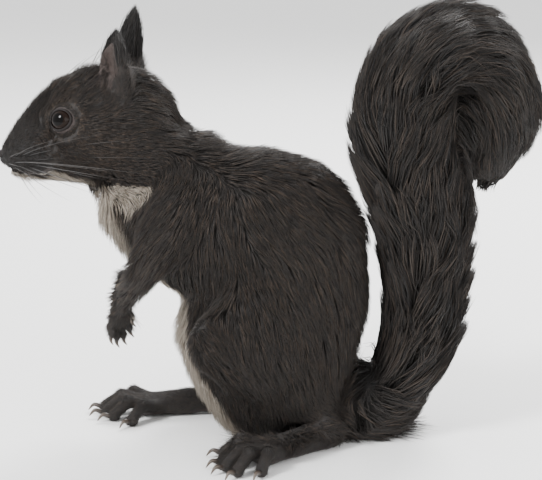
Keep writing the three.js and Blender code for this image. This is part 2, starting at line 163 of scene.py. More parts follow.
def coat_lines():
    """The lines that the coat follows, from the nose to the tip of the tail and down each limb."""
    lines = [
        ("face", [(0, -113.5, 106), (0, -100, 109)], 6, MUZZLE),
        ("face", [(0, -109, 101), (0, -98, 98)], 5, MUZZLE),
        ("face", [(0, -109, 113), (0, -90, 131)], 7, BRIDGE),
        ("head", [(0, -88, 135), (0, -58, 137)], 12, CROWN),
        ("head", [(0, -105, 99), (0, -70, 97)], 8, THROAT),
        ("face", [(5.5, -107, 104), (12, -93, 107)], 6, MUZZLE),
        ("face", [(-5.5, -107, 104), (-12, -93, 107)], 6, MUZZLE),
        ("head", [(13, -92, 106), (17, -62, 106)], 9, CHEEK),
        ("head", [(-13, -92, 106), (-17, -62, 106)], 9, CHEEK),
        ("neck", [(0, -58, 134), (0, -34, 122), (0, -8, 108)], 13, BACK),
        ("trunk", [(0, -8, 108), (0, 12, 92), (0, 26, 66), (0, 26, 36), (0, 16, 8)], 16, BACK),
        ("neck", [(0, -86, 94), (0, -72, 72), (0, -58, 46)], 13, CHEST),
        ("trunk", [(0, -58, 46), (0, -44, 24), (0, -22, 6)], 14, CHEST),
        ("tail", [place for place, _ in TAIL], 15, BRUSH),
        ("leg_left", [(27, -20, 68), (31, -6, 22)], 17, THIGH),
        ("leg_right", [(-27, -20, 68), (-31, -6, 22)], 17, THIGH),
    ]
    for side in SIDES:
        hand, foot = hand_frame(side), foot_frame(side)
        lines += [
            (f"arm_{side.name}", [side.shoulder, side.elbow], 11, UPPER_ARM),
            (f"arm_{side.name}", [side.elbow, side.wrist], 7, FOREARM),
            (f"hand_{side.name}", [side.wrist, hand.place((11, 0, -1))], 4.5, PAW),
            (f"leg_{side.name}", [side.knee, side.ankle], 11, SHANK),
            (f"foot_{side.name}", [foot.place((2, 0, 5)), foot.place((48, 0, 2))], 6, PAW),
        ]
        for end, limb, digits, reach in (("hand", hand, FINGERS, 3), ("foot", foot, TOES, 4.5)):
            for row in (digits.rows[0], digits.rows[-1]):
                base, _, _, tip, _, _ = digit_points(limb, digits, row)
                lines.append((f"{end}_{side.name}", [base, tip], reach, PAW))
        lines.append((f"ear_{side.name}", [ear_place(side, *at) for at in EAR_LINE], 6, EAR_FUR))
    for part, points, reach, fur in lines:
        for start, end in zip(points, points[1:]):
            yield Bone(part, np.array(start, float), np.array(end, float), reach, fur)


# ---- Vectors and curves ----


def unit(v):
    v = np.asarray(v, float)
    return v / np.maximum(np.linalg.norm(v, axis=-1, keepdims=True), TINY)


def norm(v):
    return np.linalg.norm(v, axis=-1)


def dot(a, b):
    return (a * b).sum(-1)


def flat_on(v, normal):
    """The part of v that is square to the unit vectors `normal`."""
    return v - dot(v, normal)[..., None] * normal


def smoothstep(low, high, x):
    """From 0 at `low` to 1 at `high`."""
    t = np.clip((x - low) / (high - low), 0, 1)
    return t * t * (3 - 2 * t)


def bell(x, spread):
    return np.exp(-((x / spread) ** 2))


def curve_through(keys, values, at):
    """A smooth curve through the rows of `values` at `keys`, read at `at`."""
    keys = np.asarray(keys, float)
    values = np.asarray(values, float)
    slopes = np.gradient(values, keys, axis=0)
    i = np.clip(np.searchsorted(keys, at) - 1, 0, len(keys) - 2)
    step = (keys[i + 1] - keys[i])[..., None]
    t = np.clip((np.asarray(at)[..., None] - keys[i][..., None]) / step, 0, 1)
    start, end = values[i], values[i + 1]
    out, into = slopes[i] * step, slopes[i + 1] * step
    return start + t * out + t * t * (3 * (end - start) - 2 * out - into) + t**3 * (2 * (start - end) + out + into)


Frame = namedtuple("Frame", "origin along lateral back")
Frame.place = lambda self, p: self.origin + p[0] * self.along + p[1] * self.lateral + p[2] * self.back


def frame_of(origin, along, lateral, back):
    along = unit(along)
    lateral = unit(flat_on(np.array(lateral, float), along))
    up = np.cross(along, lateral)
    return Frame(np.array(origin, float), along, lateral, up * np.sign(dot(up, np.array(back, float))))


def hand_frame(side):
    origin = np.array(side.wrist) + (0, -0.5, -1)
    return frame_of(origin, (-0.25 * side.sign, -0.12, -1), side.facing, (side.sign, -1, 0))


def foot_frame(side):
    angle = math.radians(side.heading)
    along = (side.sign * math.sin(angle), -math.cos(angle), 0)
    lateral = (side.sign * math.cos(angle), math.sin(angle), 0)
    return frame_of((*side.heel, 0), along, lateral, (0, 0, 1))


def ear_place(side, place, share):
    """A place on the ear of one side, moved by that share of the ear's lean and height."""
    x, y, z = place
    return np.array([side.sign * x, y + side.turned + (side.lean - side.turned) * share, z + side.tall * share])


def digit_points(limb, digits, row):
    """Base, knuckle and pad of a digit, then the root, bend and tip of its claw."""
    base_along, base_across, length, splay = row
    ahead = length + digits.radius * CLAW_ROOT + DIGIT_GAP
    claw = digits.claw_length
    reaches = (0, length * KNUCKLE, length, ahead, ahead + CLAW_BEND * claw, ahead + claw)
    angle = math.radians(splay)
    return [
        limb.place((base_along + reach * math.cos(angle), base_across + reach * math.sin(angle), height))
        for reach, height in zip(reaches, digits.heights)
    ]


# ---- Distance fields: negative inside, in millimetres ----
BLOCK = 300000  # numbers handled at a time


def soft_min(a, b, soft):
    """The union of two shapes, filled in where they meet."""
    return np.minimum(a, b) - np.maximum(soft - np.abs(a - b), 0) ** 2 / (4 * soft)


def radial(r, far):
    """Roughly the distance to the surface where r is 1, at points that lie `far` from its middle."""
    return (1 - 1 / np.maximum(r, 0.05)) * far


def ball(points, at, half):
    """Roughly the distance to an ellipsoid."""
    rel = points - np.array(at, np.float32)
    return radial(np.sqrt(((rel / np.array(half, np.float32)) ** 2).sum(-1)), norm(rel))


def rod(points, start, end, start_radius, end_radius):
    """The distance to a straight tapering rod with round ends."""
    start, end = np.array(start, np.float32), np.array(end, np.float32)
    way = end - start
    t = np.clip(((points - start) @ way) / (way @ way), 0, 1)
    return norm(points - start - t[..., None] * way) - start_radius - (end_radius - start_radius) * t


def oval_loft(points, stations, across, samples=36):
    """Roughly the distance to a tube of ovals; a station is a place and half sizes across, above and below."""
    keys = np.linspace(0, 1, len(stations))
    t = np.linspace(0, 1, samples)
    path = curve_through(keys, [place for place, _ in stations], t)
    half = curve_through(keys, [sizes for _, sizes in stations], t)
    along = unit(np.gradient(path, axis=0))
    side = unit(flat_on(np.tile(np.array(across, float), (samples, 1)), along))
    up = np.cross(along, side)
    centres, ends = path.T.astype(np.float32), (path**2).sum(-1).astype(np.float32)
    out = []
    for block in np.array_split(points.reshape(-1, 3).astype(np.float32), max(1, points.size // BLOCK)):
        nearest = np.argmin(ends - 2 * block @ centres, axis=1)
        rel = block - path[nearest]
        u, v, w = (dot(rel, axes[nearest]) for axes in (side, up, along))
        a = half[nearest, 0]
        b = np.where(v > 0, half[nearest, 1], half[nearest, 2])
        past = np.where(nearest == 0, np.minimum(w, 0), 0) + np.where(nearest == samples - 1, np.maximum(w, 0), 0)
        r = np.sqrt((u / a) ** 2 + (v / b) ** 2 + (past / np.minimum(a, b)) ** 2)
        out.append(radial(r, np.sqrt(u * u + v * v + past * past)))
    return np.concatenate(out).reshape(points.shape[:-1]).astype(np.float32)


class Lattice:
    """A block of evenly spaced points."""

    def __init__(self, low, high, step):
        self.low = np.array(low, np.float32)
        self.step = step
        self.shape = tuple(((np.array(high) - low) / step).astype(int) + 1)

    def axis(self, i):
        return self.low[i] + self.step * np.arange(self.shape[i], dtype=np.float32)

    def window(self, low, high):
        """The slices of the points between two corners, and those points."""
        first = np.clip(((np.array(low) - self.low) / self.step).astype(int), 0, self.shape)
        last = np.clip(((np.array(high) - self.low) / self.step).astype(int) + 1, 0, self.shape)
        slices = tuple(slice(a, b) for a, b in zip(first, last))
        axes = [self.axis(i)[s] for i, s in enumerate(slices)]
        return slices, np.stack(np.meshgrid(*axes, indexing="ij"), -1)

    def points(self):
        return self.window(self.low, self.low + self.step * np.array(self.shape))[1]

    def read(self, field, points):
        """The field's values at any points, straight between the lattice's own."""
        place = np.clip((points - self.low) / self.step, 0, np.array(self.shape) - 1.001)
        i = place.astype(np.int32)
        f = (place - i).astype(np.float32)
        total = 0
        for corner in np.ndindex(2, 2, 2):
            weight = np.prod(np.where(corner, f, 1 - f), axis=-1)
            index = tuple(np.moveaxis(i + corner, -1, 0))
            total = total + weight * field[index]
        return total

    def spread(self, field, finer):
        """The field on the points of a finer lattice."""
        for i in range(3):
            place = np.clip((finer.axis(i) - self.low[i]) / self.step, 0, self.shape[i] - 1.001)
            below = place.astype(int)
            share = (place - below).astype(np.float32).reshape([-1 if j == i else 1 for j in range(3)])
            field = np.take(field, below, axis=i) * (1 - share) + np.take(field, below + 1, axis=i) * share
        return field

    def distance(self, points, faces, reach):
        """The distance to a closed mesh, cut off at `reach` millimetres on both sides."""
        corners = {3: "triangles", 4: "quads"}[faces.shape[1]]
        grid = openvdb.FloatGrid.createLevelSetFromPolygons(
            ((points - self.low) / self.step).astype(np.float32),
            transform=openvdb.createLinearTransform(1.0),
            halfWidth=reach / self.step,
            **{corners: faces.astype(np.uint32)},
        )
        field = np.empty(self.shape, np.float32)
        grid.copyToArray(field)
        return field * self.step

    def surface(self, field, adaptivity=None):
        """The closed surface where the field is 0: points, and faces of four, or of three and four."""
        band = 3 * self.step
        grid = openvdb.FloatGrid(band)
        grid.copyFromArray(np.clip(field, -band, band))
        points, *faces = grid.convertToQuads(0.0) if adaptivity is None else grid.convertToPolygons(0.0, adaptivity)
        return points * self.step + self.low, *faces


def blurred(field, spread):
    """The field with its corners rounded off; `spread` is in steps of the lattice."""
    reach = int(math.ceil(2.5 * spread))
    weights = np.exp(-0.5 * (np.arange(-reach, reach + 1) / spread) ** 2)
    weights = (weights / weights.sum()).astype(np.float32)
    for axis in range(3):
        padded = np.pad(field, [(reach, reach) if i == axis else (0, 0) for i in range(3)], mode="edge")
        field = sum(
            w * np.take(padded, np.arange(k, k + field.shape[axis]), axis=axis) for k, w in enumerate(weights)
        )
    return field


# ---- The body inside the coat ----

COARSE = Lattice((-45, -122, -6), (70, 98, 172), 1.0)
SPARSE = Lattice((-46, -124, -8), (72, 100, 174), 3.0)
FINE = Lattice((-41, -116, -1.5), (62, 93, 158), 0.55)
CLOSE = 0.6  # gaps narrower than twice this are closed
ROUNDING = 1.8
LARGE = ("trunk", "neck", "thigh", "shank", "upper_arm", "forearm")  # the others are shaped one by one
CURL = ((0, 61, 119), (7, 7, 17))  # what fills the middle of the tail's curl
TAIL_CORE = (0.56, 0.7, 0.7)  # the tail without its hair, as shares of its half sizes
SOLE = 0.15  # the skin's lowest level
SKIN_ADAPTIVITY = 0.35
BONES = list(coat_lines())


def rows_of(items, key, kind=np.float32, width=3):
    """One value of each of a mesh's points, corners or triangles, as rows of numbers."""
    values = np.empty(len(items) * width, kind)
    items.foreach_get(key, values)
    return values.reshape(-1, width)


def cad_mesh(names):
    """Points in millimetres and triangles of several nodes of the frame, as one."""
    points, triangles, count = [], [], 0
    for name in names:
        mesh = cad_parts[name].data
        mesh.calc_loop_triangles()
        points.append(rows_of(mesh.vertices, "co") / MM)
        triangles.append(rows_of(mesh.loop_triangles, "vertices", np.int32) + count)
        count += len(mesh.vertices)
    return np.concatenate(points), np.concatenate(triangles)


def closed_distance(names, reach):
    """The distance to several nodes together, with the gaps between them closed."""
    near = COARSE.distance(*cad_mesh(names), 3)
    return COARSE.distance(*COARSE.surface(near - CLOSE), reach) + CLOSE


def is_flesh(name):
    return not name.startswith(("claw", "eye", "nose"))


# Where the gap between the back and the tail is: z and y.
TAIL_GAP = np.array([(22, 25), (30, 27), (40, 29.5), (57, 30.5), (70, 28.5), (80, 26), (90, 22), (100, 16), (115, 8)])


def bone_weights(points):
    """How much each line of the coat counts at each point."""
    behind = smoothstep(-1.5, 1.5, points[..., 1] - np.interp(points[..., 2], TAIL_GAP[:, 0], TAIL_GAP[:, 1]))
    above = smoothstep(14, 24, points[..., 2])
    share = {True: 1.001 - above * (1 - behind), False: 1.001 - above * behind}
    weights = []
    for bone in BONES:
        far = rod(points, bone.start, bone.end, 0, 0) / bone.reach
        weights.append((0.03 + far * far) ** -3.5 * share[bone.part == "tail"])
    weights = np.stack(weights, -1)
    return weights / weights.sum(-1, keepdims=True)


def head_shape(p):
    """The head's outline, out to the tips of its coat."""
    keys, low, high, wide = np.array(HEAD, float).T
    y = p[..., 1]
    sizes = curve_through(keys, np.stack([(low + high) / 2, (high - low) / 2, wide / 2], -1), y)
    middle, high, wide = np.moveaxis(sizes, -1, 0)
    rise = (p[..., 2] - middle) / high
    bridge = smoothstep(0, 1, rise) * smoothstep(-78, -94, y)
    wide = wide * (1 - HEAD_PEAR * np.clip(rise, -1, 1) - BRIDGE_PINCH * bridge)
    past = np.maximum(keys[0] - y, 0) / HEAD_DOMES[0] + np.maximum(y - keys[-1], 0) / HEAD_DOMES[1]
    r = np.sqrt((p[..., 0] / wide) ** 2 + rise**2 + past**2)
    over = np.maximum(keys[0] - y, 0) + np.maximum(y - keys[-1], 0)
    far = np.sqrt(p[..., 0] ** 2 + (p[..., 2] - middle) ** 2 + over**2)
    return radial(r, far)


# Measures of the face, on the left side.
GAZE = unit((0.87, -0.42, 0.24))
EYE_ALONG = unit(flat_on(np.array([-0.25, -0.9, -0.18]), GAZE))  # from the eye to its front corner
EYE_UP = np.cross(EYE_ALONG, GAZE) * np.sign(np.cross(EYE_ALONG, GAZE)[2])
EYE_OPENING = (4.35, 3.85)
EYE_CORNER = 0.18  # how far the front corner is drawn out
LID = 0.55
EYE_HOLLOW = ((9.3, -97.5, 117.5), 3.6, 0.9)  # in front of the eye: place, spread and depth
MOUTH = [(-111.4, 104.5), (-109.5, 103.6), (-107, 102.7), (-103, 101.6), (-99, 101.6), (-95.5, 102.8), (-93, 104.6)]
# What swells the face: a shape and its measures, and how softly it joins the head.
SWELLINGS = [
    (ball, ((0, -110.6, 107.4), (3.9, 2.6, 3.3)), 1.5),  # the end of the muzzle
    (ball, ((4.1, -105.4, 106), (3.6, 5.2, 3.4)), 2),  # whisker pads
    (ball, ((0, -105.4, 101.5), (3.5, 3.7, 2)), 1.5),  # chin
    (rod, ((8.6, -95, 122.5), (14.2, -81, 128.6), 1.7, 2), 4),  # brows
    (ball, ((13.6, -84, 112.5), (4.5, 8, 4.5)), 4),  # cheeks
]


def mouth_distance(p):
    """How far a point is from the line of the mouth, seen from the side."""
    line = np.array(MOUTH)
    flat = p[..., 1:]
    best = np.full(flat.shape[:-1], 1e3, np.float32)
    for a, b in zip(line, line[1:]):
        way = b - a
        t = np.clip(((flat - a) @ way) / (way @ way), 0, 1)
        best = np.minimum(best, norm(flat - a - t[..., None] * way))
    return best


def shape_face(p, head):
    """Adds brows, cheeks, whisker pads, chin, lids and the mouth to the head."""
    p = p.copy()
    p[..., 0] = np.abs(p[..., 0])
    for shape, measures, soft in SWELLINGS:
        head = soft_min(head, shape(p, *measures), soft)
    hollow, spread, depth = EYE_HOLLOW
    head = head + depth * bell(norm(p - np.array(hollow, np.float32)), spread)
    # The ball of the lids, the opening between them and the crease around them.
    to_eye = p - np.array(EYE_AT, np.float32)
    far = norm(to_eye)
    head = soft_min(head, far - EYE_RADIUS - LID, 2.2)
    along, up, out = (dot(to_eye, axis.astype(np.float32)) for axis in (EYE_ALONG, EYE_UP, GAZE))
    corner = 1 + EYE_CORNER * np.exp(-(((along - 4.6) / 1.5) ** 2 + ((up + 0.4) / 0.8) ** 2))
    opening = (np.sqrt((along / EYE_OPENING[0]) ** 2 + (up / EYE_OPENING[1]) ** 2) / corner - 1.04) * EYE_OPENING[1]
    head = -soft_min(-head, np.maximum(opening, -out), 0.4)
    head = head + 0.35 * (bell(far - EYE_RADIUS - LID - 1.0, 0.7) * (out > 0))
    # The mouth and the cleft of the upper lip.
    head = head + 0.6 * bell(mouth_distance(p), 0.6) * (p[..., 1] < -92)
    cleft = bell(p[..., 0], 0.5) * smoothstep(103.2, 104.2, p[..., 2]) * (p[..., 1] < -108)
    return head + 0.4 * cleft * (1 - smoothstep(106.5, 107.5, p[..., 2]))


def ear_loft(side, p, stations):
    """Roughly the distance to a part of an ear; its half sizes are across, behind and in front."""
    across = np.array(EAR_ACROSS) * (side.sign, 1, 1)
    order = [0, 1, 2] if side.sign > 0 else [0, 2, 1]
    return oval_loft(p, [(ear_place(side, at, share), np.array(half)[order]) for at, half, share in stations], across)


def ear_shape(side, p):
    """The bare ear: a thin cup that opens forwards and outwards."""
    return -soft_min(-ear_loft(side, p, PINNA), ear_loft(side, p, EAR_HOLLOW), 0.6)


def limb_end(p, limb, digits, inset):
    """The digits of a hand or foot, with a soft pad under each tip."""
    shape = np.full(p.shape[:-1], 1e3, np.float32)
    radius = digits.radius - inset
    for row in digits.rows:
        base, knuckle, pad, claw_root, _, _ = digit_points(limb, digits, row)
        digit = rod(p, base, knuckle, radius * 1.05, radius * 0.98)
        digit = soft_min(digit, rod(p, knuckle, pad, radius * 0.98, radius * 0.88), 1)
        digit = soft_min(digit, rod(p, pad, claw_root, radius * 0.8, radius * 0.5), 0.8)
        digit = soft_min(digit, ball(p, pad - limb.back * radius * 0.35, [radius * 0.95] * 3), 0.6)
        shape = np.minimum(shape, digit)
    return shape


def hand_shape(side, p):
    limb = hand_frame(side)
    stations = [(-5, 3.1, 3.4, 3.4), (0, 3.1, 3, 3), (3.5, 4.1, 2.6, 2.7), (6, 4.2, 2.1, 2.2)]
    palm = oval_loft(p, [(limb.place((reach, 0, 0)), half) for reach, *half in stations], limb.lateral, 16)
    return soft_min(palm, limb_end(p, limb, FINGERS, 0.1), 1.6)


def foot_shape(side, p):
    limb = foot_frame(side)
    stations = []
    for reach, wide, below, above in ((1, 4.4, 5, 5.6), (12, 5, 5, 5.6), (24, 6, 4.6, 5.0), (34, 6.6, 4, 4.2)):
        half = (wide, above, below) if side.sign > 0 else (wide, below, above)
        stations.append((limb.place((reach, 0, below)), half))
    foot = soft_min(oval_loft(p, stations, limb.lateral, 24), limb_end(p, limb, TOES, -0.1), 1.8)
    return soft_min(foot, rod(p, limb.place((3, 0, 6)), side.ankle, 5, 5.2), 4)


def tail_core(p):
    """The inside of the tail, that its long hair grows on."""
    return oval_loft(p, [(at, np.array(half) * TAIL_CORE) for at, half in TAIL], (1, 0, 0), 60)


def make_body():
    """The bare body's distance on the fine lattice, and the coat's on the coarse one."""
    names = [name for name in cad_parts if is_flesh(name)]
    outside = closed_distance(names, 20)
    body = blurred(closed_distance([name for name in names if name.startswith(LARGE)], 9), ROUNDING)
    depth = bone_weights(SPARSE.points()) @ np.array([min(bone.fur.depth, BACK.depth) for bone in BONES])
    depth = depth.astype(np.float32)
    body = body + SPARSE.spread(depth, COARSE)
    slices, p = COARSE.window((-20, 0, -4), (20, 98, 172))
    body[slices] = soft_min(soft_min(body[slices], tail_core(p), 6), ball(p, *CURL), 4)
    field = COARSE.spread(body, FINE)

    def add(low, high, shape, soft):
        slices, p = FINE.window(low, high)
        field[slices] = soft_min(field[slices], shape(p), soft)

    slices, p = FINE.window((-24, -116, 90), (24, -44, 146))
    head = head_shape(p) + SPARSE.read(depth, p)
    joined = soft_min(field[slices], head, 5)
    field[slices] = shape_face(p, joined.astype(np.float32))
    for side in SIDES:
        ear = np.array((13.5 * side.sign, -69, 143))
        add(ear - (13, 15, 13), ear + (13, 15, 13), lambda p, side=side: ear_shape(side, p), 2.5)
        hand = hand_frame(side).place((6, 0, 0))
        add(hand - 18, hand + 18, lambda p, side=side: hand_shape(side, p), 3)
        foot = foot_frame(side).place((24, 0, 5))
        add(foot - (36, 36, 12), foot + (36, 36, 14), lambda p, side=side: foot_shape(side, p), 3)
    return np.maximum(field, SOLE - FINE.axis(2)), outside


# ---- Meshes ----


def linked(name, data):
    """A new object in the scene."""
    holder = bpy.data.objects.new(name, data)
    bpy.context.scene.collection.objects.link(holder)
    return holder


def new_mesh(name, points, *faces, smooth=True):
    """A mesh object; each array of `faces` holds faces of one number of corners."""
    mesh = bpy.data.meshes.new(name)
    mesh.vertices.add(len(points))
    mesh.vertices.foreach_set("co", (np.asarray(points) * MM).astype(np.float32).ravel())
    corners = np.concatenate([rows.ravel() for rows in faces]).astype(np.int32)
    sizes = np.concatenate([np.full(len(rows), rows.shape[1]) for rows in faces])
    mesh.loops.add(len(corners))
    mesh.loops.foreach_set("vertex_index", corners)
    mesh.polygons.add(len(sizes))
    mesh.polygons.foreach_set("loop_start", (np.cumsum(sizes) - sizes).astype(np.int32))
    mesh.polygons.foreach_set("loop_total", sizes.astype(np.int32))
    mesh.update(calc_edges=True)
    mesh.validate()
    mesh.shade_smooth() if smooth else mesh.shade_flat()
    return linked(name, mesh)


def mesh_arrays(mesh):
    """Points, normals and triangles of a mesh, and each triangle's corners in its face loops."""
    mesh.calc_loop_triangles()
    points, normals = (rows_of(mesh.vertices, key) for key in ("co", "normal"))
    triangles, loops = (rows_of(mesh.loop_triangles, key, np.int32) for key in ("vertices", "loops"))
    return points / MM, normals, triangles, loops


def set_values(piece, **values):
    """Numbers at the vertices, that the materials read."""
    for name, value in values.items():
        attribute = piece.data.attributes.new(name, "FLOAT", "POINT")
        attribute.data.foreach_set("value", np.full(len(piece.data.vertices), value, np.float32))


def dress(piece, material, slot, *nodes):
    """Gives a piece its material and its body, and hides the nodes it stands for. The slot is not used."""
    piece.data.materials.append(material)
    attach(piece, "root")
    if nodes:
        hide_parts(*nodes)


def largest_part(points, *faces):
    """The points and faces of the largest connected part of a mesh."""
    label = np.arange(len(points))
    edges = np.concatenate([np.stack([rows, np.roll(rows, -1, axis=1)], -1).reshape(-1, 2) for rows in faces])
    while True:
        low = np.minimum(label[edges[:, 0]], label[edges[:, 1]])
        new = label.copy()
        np.minimum.at(new, edges[:, 0], low)
        np.minimum.at(new, edges[:, 1], low)
        new = new[new]
        if (new == label).all():
            break
        label = new
    kept = label == np.bincount(label).argmax()
    index = np.cumsum(kept) - 1
    return points[kept], *(index[rows[kept[rows[:, 0]]]] for rows in faces)


def make_skin(field):
    """The bare body as one closed mesh, with its unwrap."""
    skin = new_mesh("skin", *largest_part(*FINE.surface(field, SKIN_ADAPTIVITY)))
    bpy.context.view_layer.objects.active = skin
    skin.select_set(True)
    skin.data.uv_layers.new(name="OFBake")
    bpy.ops.object.mode_set(mode="EDIT")
    bpy.ops.mesh.select_all(action="SELECT")
    bpy.ops.uv.smart_project(angle_limit=math.radians(70), island_margin=0.002)
    bpy.ops.object.mode_set(mode="OBJECT")
    skin.select_set(False)
    return skin


# ---- Markings ----

# The line from the rump to the nose that the underside is seen from.
SPINE = [(0, 1, 5), (0, -4, 19), (0, -8, 37), (0, -10, 56), (0, -15, 72), (0, -26, 85), (0, -38, 93), (0, -50, 99.5),
         (0, -61, 105.5), (0, -75, 112), (0, -92, 111), (0, -108, 108)]
JAW = np.array([*MOUTH, (-86, 102), (-78, 100.5)])  # the upper edge of the pale chin
INNER_LIMBS = 0.42  # how pale they are
EYE_RING = 0.27
# Grizzled places on the side of the face: the middle, the radius, and how pale.
GRIZZLED = [
    ((6, -104, 106.5), 5, 0.2), ((13, -90, 109), 8, 0.17), ((18, -76, 110), 11, 0.2), ((11, -88, 133), 5, 0.14),
]
FEET_FROM = 12  # the feet are further out than this


def from_left(p, place):
    """From a place on the left side to each point, or to its mirror image on that side."""
    return np.stack([np.abs(p[:, 0]), p[:, 1], p[:, 2]], -1) - place


def from_eye(p):
    """How far each point is from the middle of the nearer eye."""
    return norm(from_left(p, EYE_AT))


def underfoot(p, normal, turned, height):
    """1 under the feet, 0 elsewhere: where the normal's z and the height pass the given limits."""
    return smoothstep(*turned, normal[:, 2]) * smoothstep(*height, p[:, 2]) * (np.abs(p[:, 0]) > FEET_FROM)


def markings(p, normal, part):
    """The pale parts of the coat, from 0 to 1: the throat, chest, belly, inner limbs, lips and eye rings."""
    path = curve_through(np.linspace(0, 1, len(SPINE)), SPINE, np.linspace(0, 1, 60))
    along = unit(np.gradient(path, axis=0))
    nearest = np.argmin((path**2).sum(-1) - 2 * p @ path.T, axis=1)
    rel = flat_on(p - path[nearest], along[nearest])
    ventral = -np.cross(along[nearest], (1, 0, 0))
    pale = smoothstep(0.72, 0.9, dot(unit(rel), ventral))
    is_head = (part == "head") | (part == "face")
    is_limb = np.char.startswith(part, "arm") | np.char.startswith(part, "leg")
    inner = smoothstep(0.5, 0.85, -normal[:, 0] * np.sign(p[:, 0])) * smoothstep(12, 24, p[:, 2])
    pale = np.where(is_limb, inner * INNER_LIMBS, np.where(np.char.find(part, "_") > 0, 0, pale))
    pale = np.where(is_head, smoothstep(-0.5, -1.5, p[:, 2] - np.interp(p[:, 1], *JAW.T)), pale)
    far = from_eye(p)
    ring = smoothstep(EYE_RADIUS + 0.9, EYE_RADIUS + 1.6, far) * smoothstep(EYE_RADIUS + 3.4, EYE_RADIUS + 1.9, far)
    pale = np.maximum(pale, EYE_RING * ring * is_head)
    for middle, radius, amount in GRIZZLED:
        spot = bell(norm(from_left(p, middle)), radius)
        pale = np.maximum(pale, amount * spot * is_head)
    pale[part == "tail"] = 0
    return pale


def ear_inside(p):
    """1 in the hollows of the ears, 0 elsewhere."""
    return sum(smoothstep(1.1, 0.5, ear_loft(side, p, EAR_HOLLOW)) for side in SIDES)


def bareness(p, normal):
    """Where the skin shows bare, from 0 to 1: the lids' edges, the lips, the soles and the insides of the ears."""
    lids = smoothstep(EYE_RADIUS + 0.75, EYE_RADIUS + 0.55, from_eye(p))
    lips = smoothstep(0.75, 0.3, mouth_distance(p)) * (p[:, 1] < -93) * (np.abs(p[:, 0]) < 12)
    return np.maximum.reduce([lids, lips, underfoot(p, normal, (-0.5, -0.8), (6, 3)), ear_inside(p)])


def brush(part):
    """How much of the tail's darker colour each part takes: all of it on the tail, and 0.7 on the face as painted
    shade.
    """
    # The face's share is painted shade, which darkens the brightly lit, flat-lying hair of the face.
    return np.where(part == "tail", 1, 0.7 * (part == "face"))


# ---- Locks of the coat ----

Roots = namedtuple("Roots", "place normal uv weights")
Locks = namedtuple("Locks", "start out tip normal width uv")
PIN = (0, 1)  # shares of a lock's length at which it has rings, and its tip
SHORT = (0, 0.45, 1)
LONG = (0, 0.3, 0.68, 1)
PINNED = ("face", "hand", "foot", "ear")  # where the locks follow the skin and not the solids' outline
PATCH = 0.003  # a lock's patch on the unwrap
ROOT_WIDTH, TAPER, BLADE = 0.7, 0.8, 0.9  # a lock's width at its root, what it loses to its tip, and its thickness
LOWEST = 0.08  # the locks end above the floor

SHORTEST = (0.55, 0.4)  # how deep in the coat the shortest locks end, on the tail and elsewhere
PROUD = (1.2, 0.7)  # how many millimetres the locks' tips stand outside the solids, on the tail and elsewhere
LENGTHS, WIDTHS = (0.8, 1.15), (0.75, 1.2)  # the least and the most by which locks that grow side by side differ
OVERLAP, LONGEST = 1.7, 33  # a lock is this many times as long as the coat is deep, up to that many millimetres
ROOT_DEPTH, ROOT_BACK = 0.35, 0.2  # how far a lock's start lies under the skin, and behind its root
ASTRAY, ASTRAY_RISE = 0.06, 0.07  # the share of stray locks, and how far out they stand as a share of their length
LEAST_RISE, MOST_RISE = 0.09, 0.75  # how far a lock's tip rises above the skin, as shares of its length
WAVE, WAVE_SIZE = 0.22, 14  # how far the lie of the coat swerves, and over how many millimetres
STRAY = 0.13  # how far it swerves at random
EYE_SWIRL, EYE_PARTED = 8.5, 0.75  # how far round the eyes the coat lies away from them, and how much
SOLE_BARE, EAR_BARE = 0.97, 0.75  # the shares of the locks that are missing on the soles and in the ears
EYE_DENSE, PARTING_DENSE = 1.7, 1.5  # how many more grow round the eyes and where the coat parts

# Where the coat's tips stand further out, seen from the side: the middle of the place, its radius, and how much.
FULLER = [
    ((-58, 134), 9, 0.9), ((-44, 119), 6, 1.2), ((-33, 114), 8, 3.2), ((-16, 110), 10, -1.2), ((18, 92), 11, 3.2),
    ((30, 68), 12, -1.2), ((27, 52), 8, 0.8), ((-76, 90), 8, 3.2), ((-71, 79), 8, 2.6), ((-66, 67), 7, 4),
    ((-49, 60), 7, -3), ((-46, 55), 7, 3), ((-46, 42), 8, 2.4), ((-43, 30), 6, 0.8), ((26, 112), 10, 1.2),
    ((20, 124), 8, 2.2), ((31, 90), 8, -1.2), ((28, 144), 9, -1), ((60, 164), 14, 1.8), ((86, 146), 13, -2.4),
    ((91, 124), 6, 1.8), ((83, 106), 9, -3), ((28, 0), 10, 3), ((46, 9), 9, -4), ((59, 33), 9, 0.8),
    ((62, 52), 7, -0.3),
]
# Where the coat parts and grows denser: the middle of the place, and its radius.
PARTINGS = [((33, -38, 49), 7), ((0, -77, 95), 8), ((11, 59, 121), 7), ((-11, 59, 121), 7)]
TUFT_TIPS = np.array([86.7, 75.5, 64.5, 54.5, 43.9])  # heights at which the tufts down the tail's rear edge end
TAIL_BREAKS = (3.5, 6.5, 9.5)  # stations between the tail's pieces


def sow(skin, share):
    """Roots spread evenly over the skin, `share` for each square millimetre at each vertex."""
    points, normals, triangles, loops = mesh_arrays(skin.data)
    uv = rows_of(skin.data.uv_layers["OFBake"].data, "uv", width=2)
    a, b, c = (points[triangles[:, i]] for i in range(3))
    area = norm(np.cross(b - a, c - a)) / 2
    wanted = area * share[triangles].mean(1)
    count = np.floor(wanted + rng.random(len(wanted))).astype(int)
    chosen = np.repeat(np.arange(len(count)), count)
    u, v = rng.random((2, len(chosen)))
    turned = u + v > 1
    u, v = np.where(turned, 1 - u, u), np.where(turned, 1 - v, v)
    mix = np.stack([1 - u - v, u, v], -1)[..., None]
    place = (points[triangles[chosen]] * mix).sum(1)
    normal = unit((normals[triangles[chosen]] * mix).sum(1))
    return Roots(place, normal, (uv[loops[chosen]] * mix).sum(1), bone_weights(place))


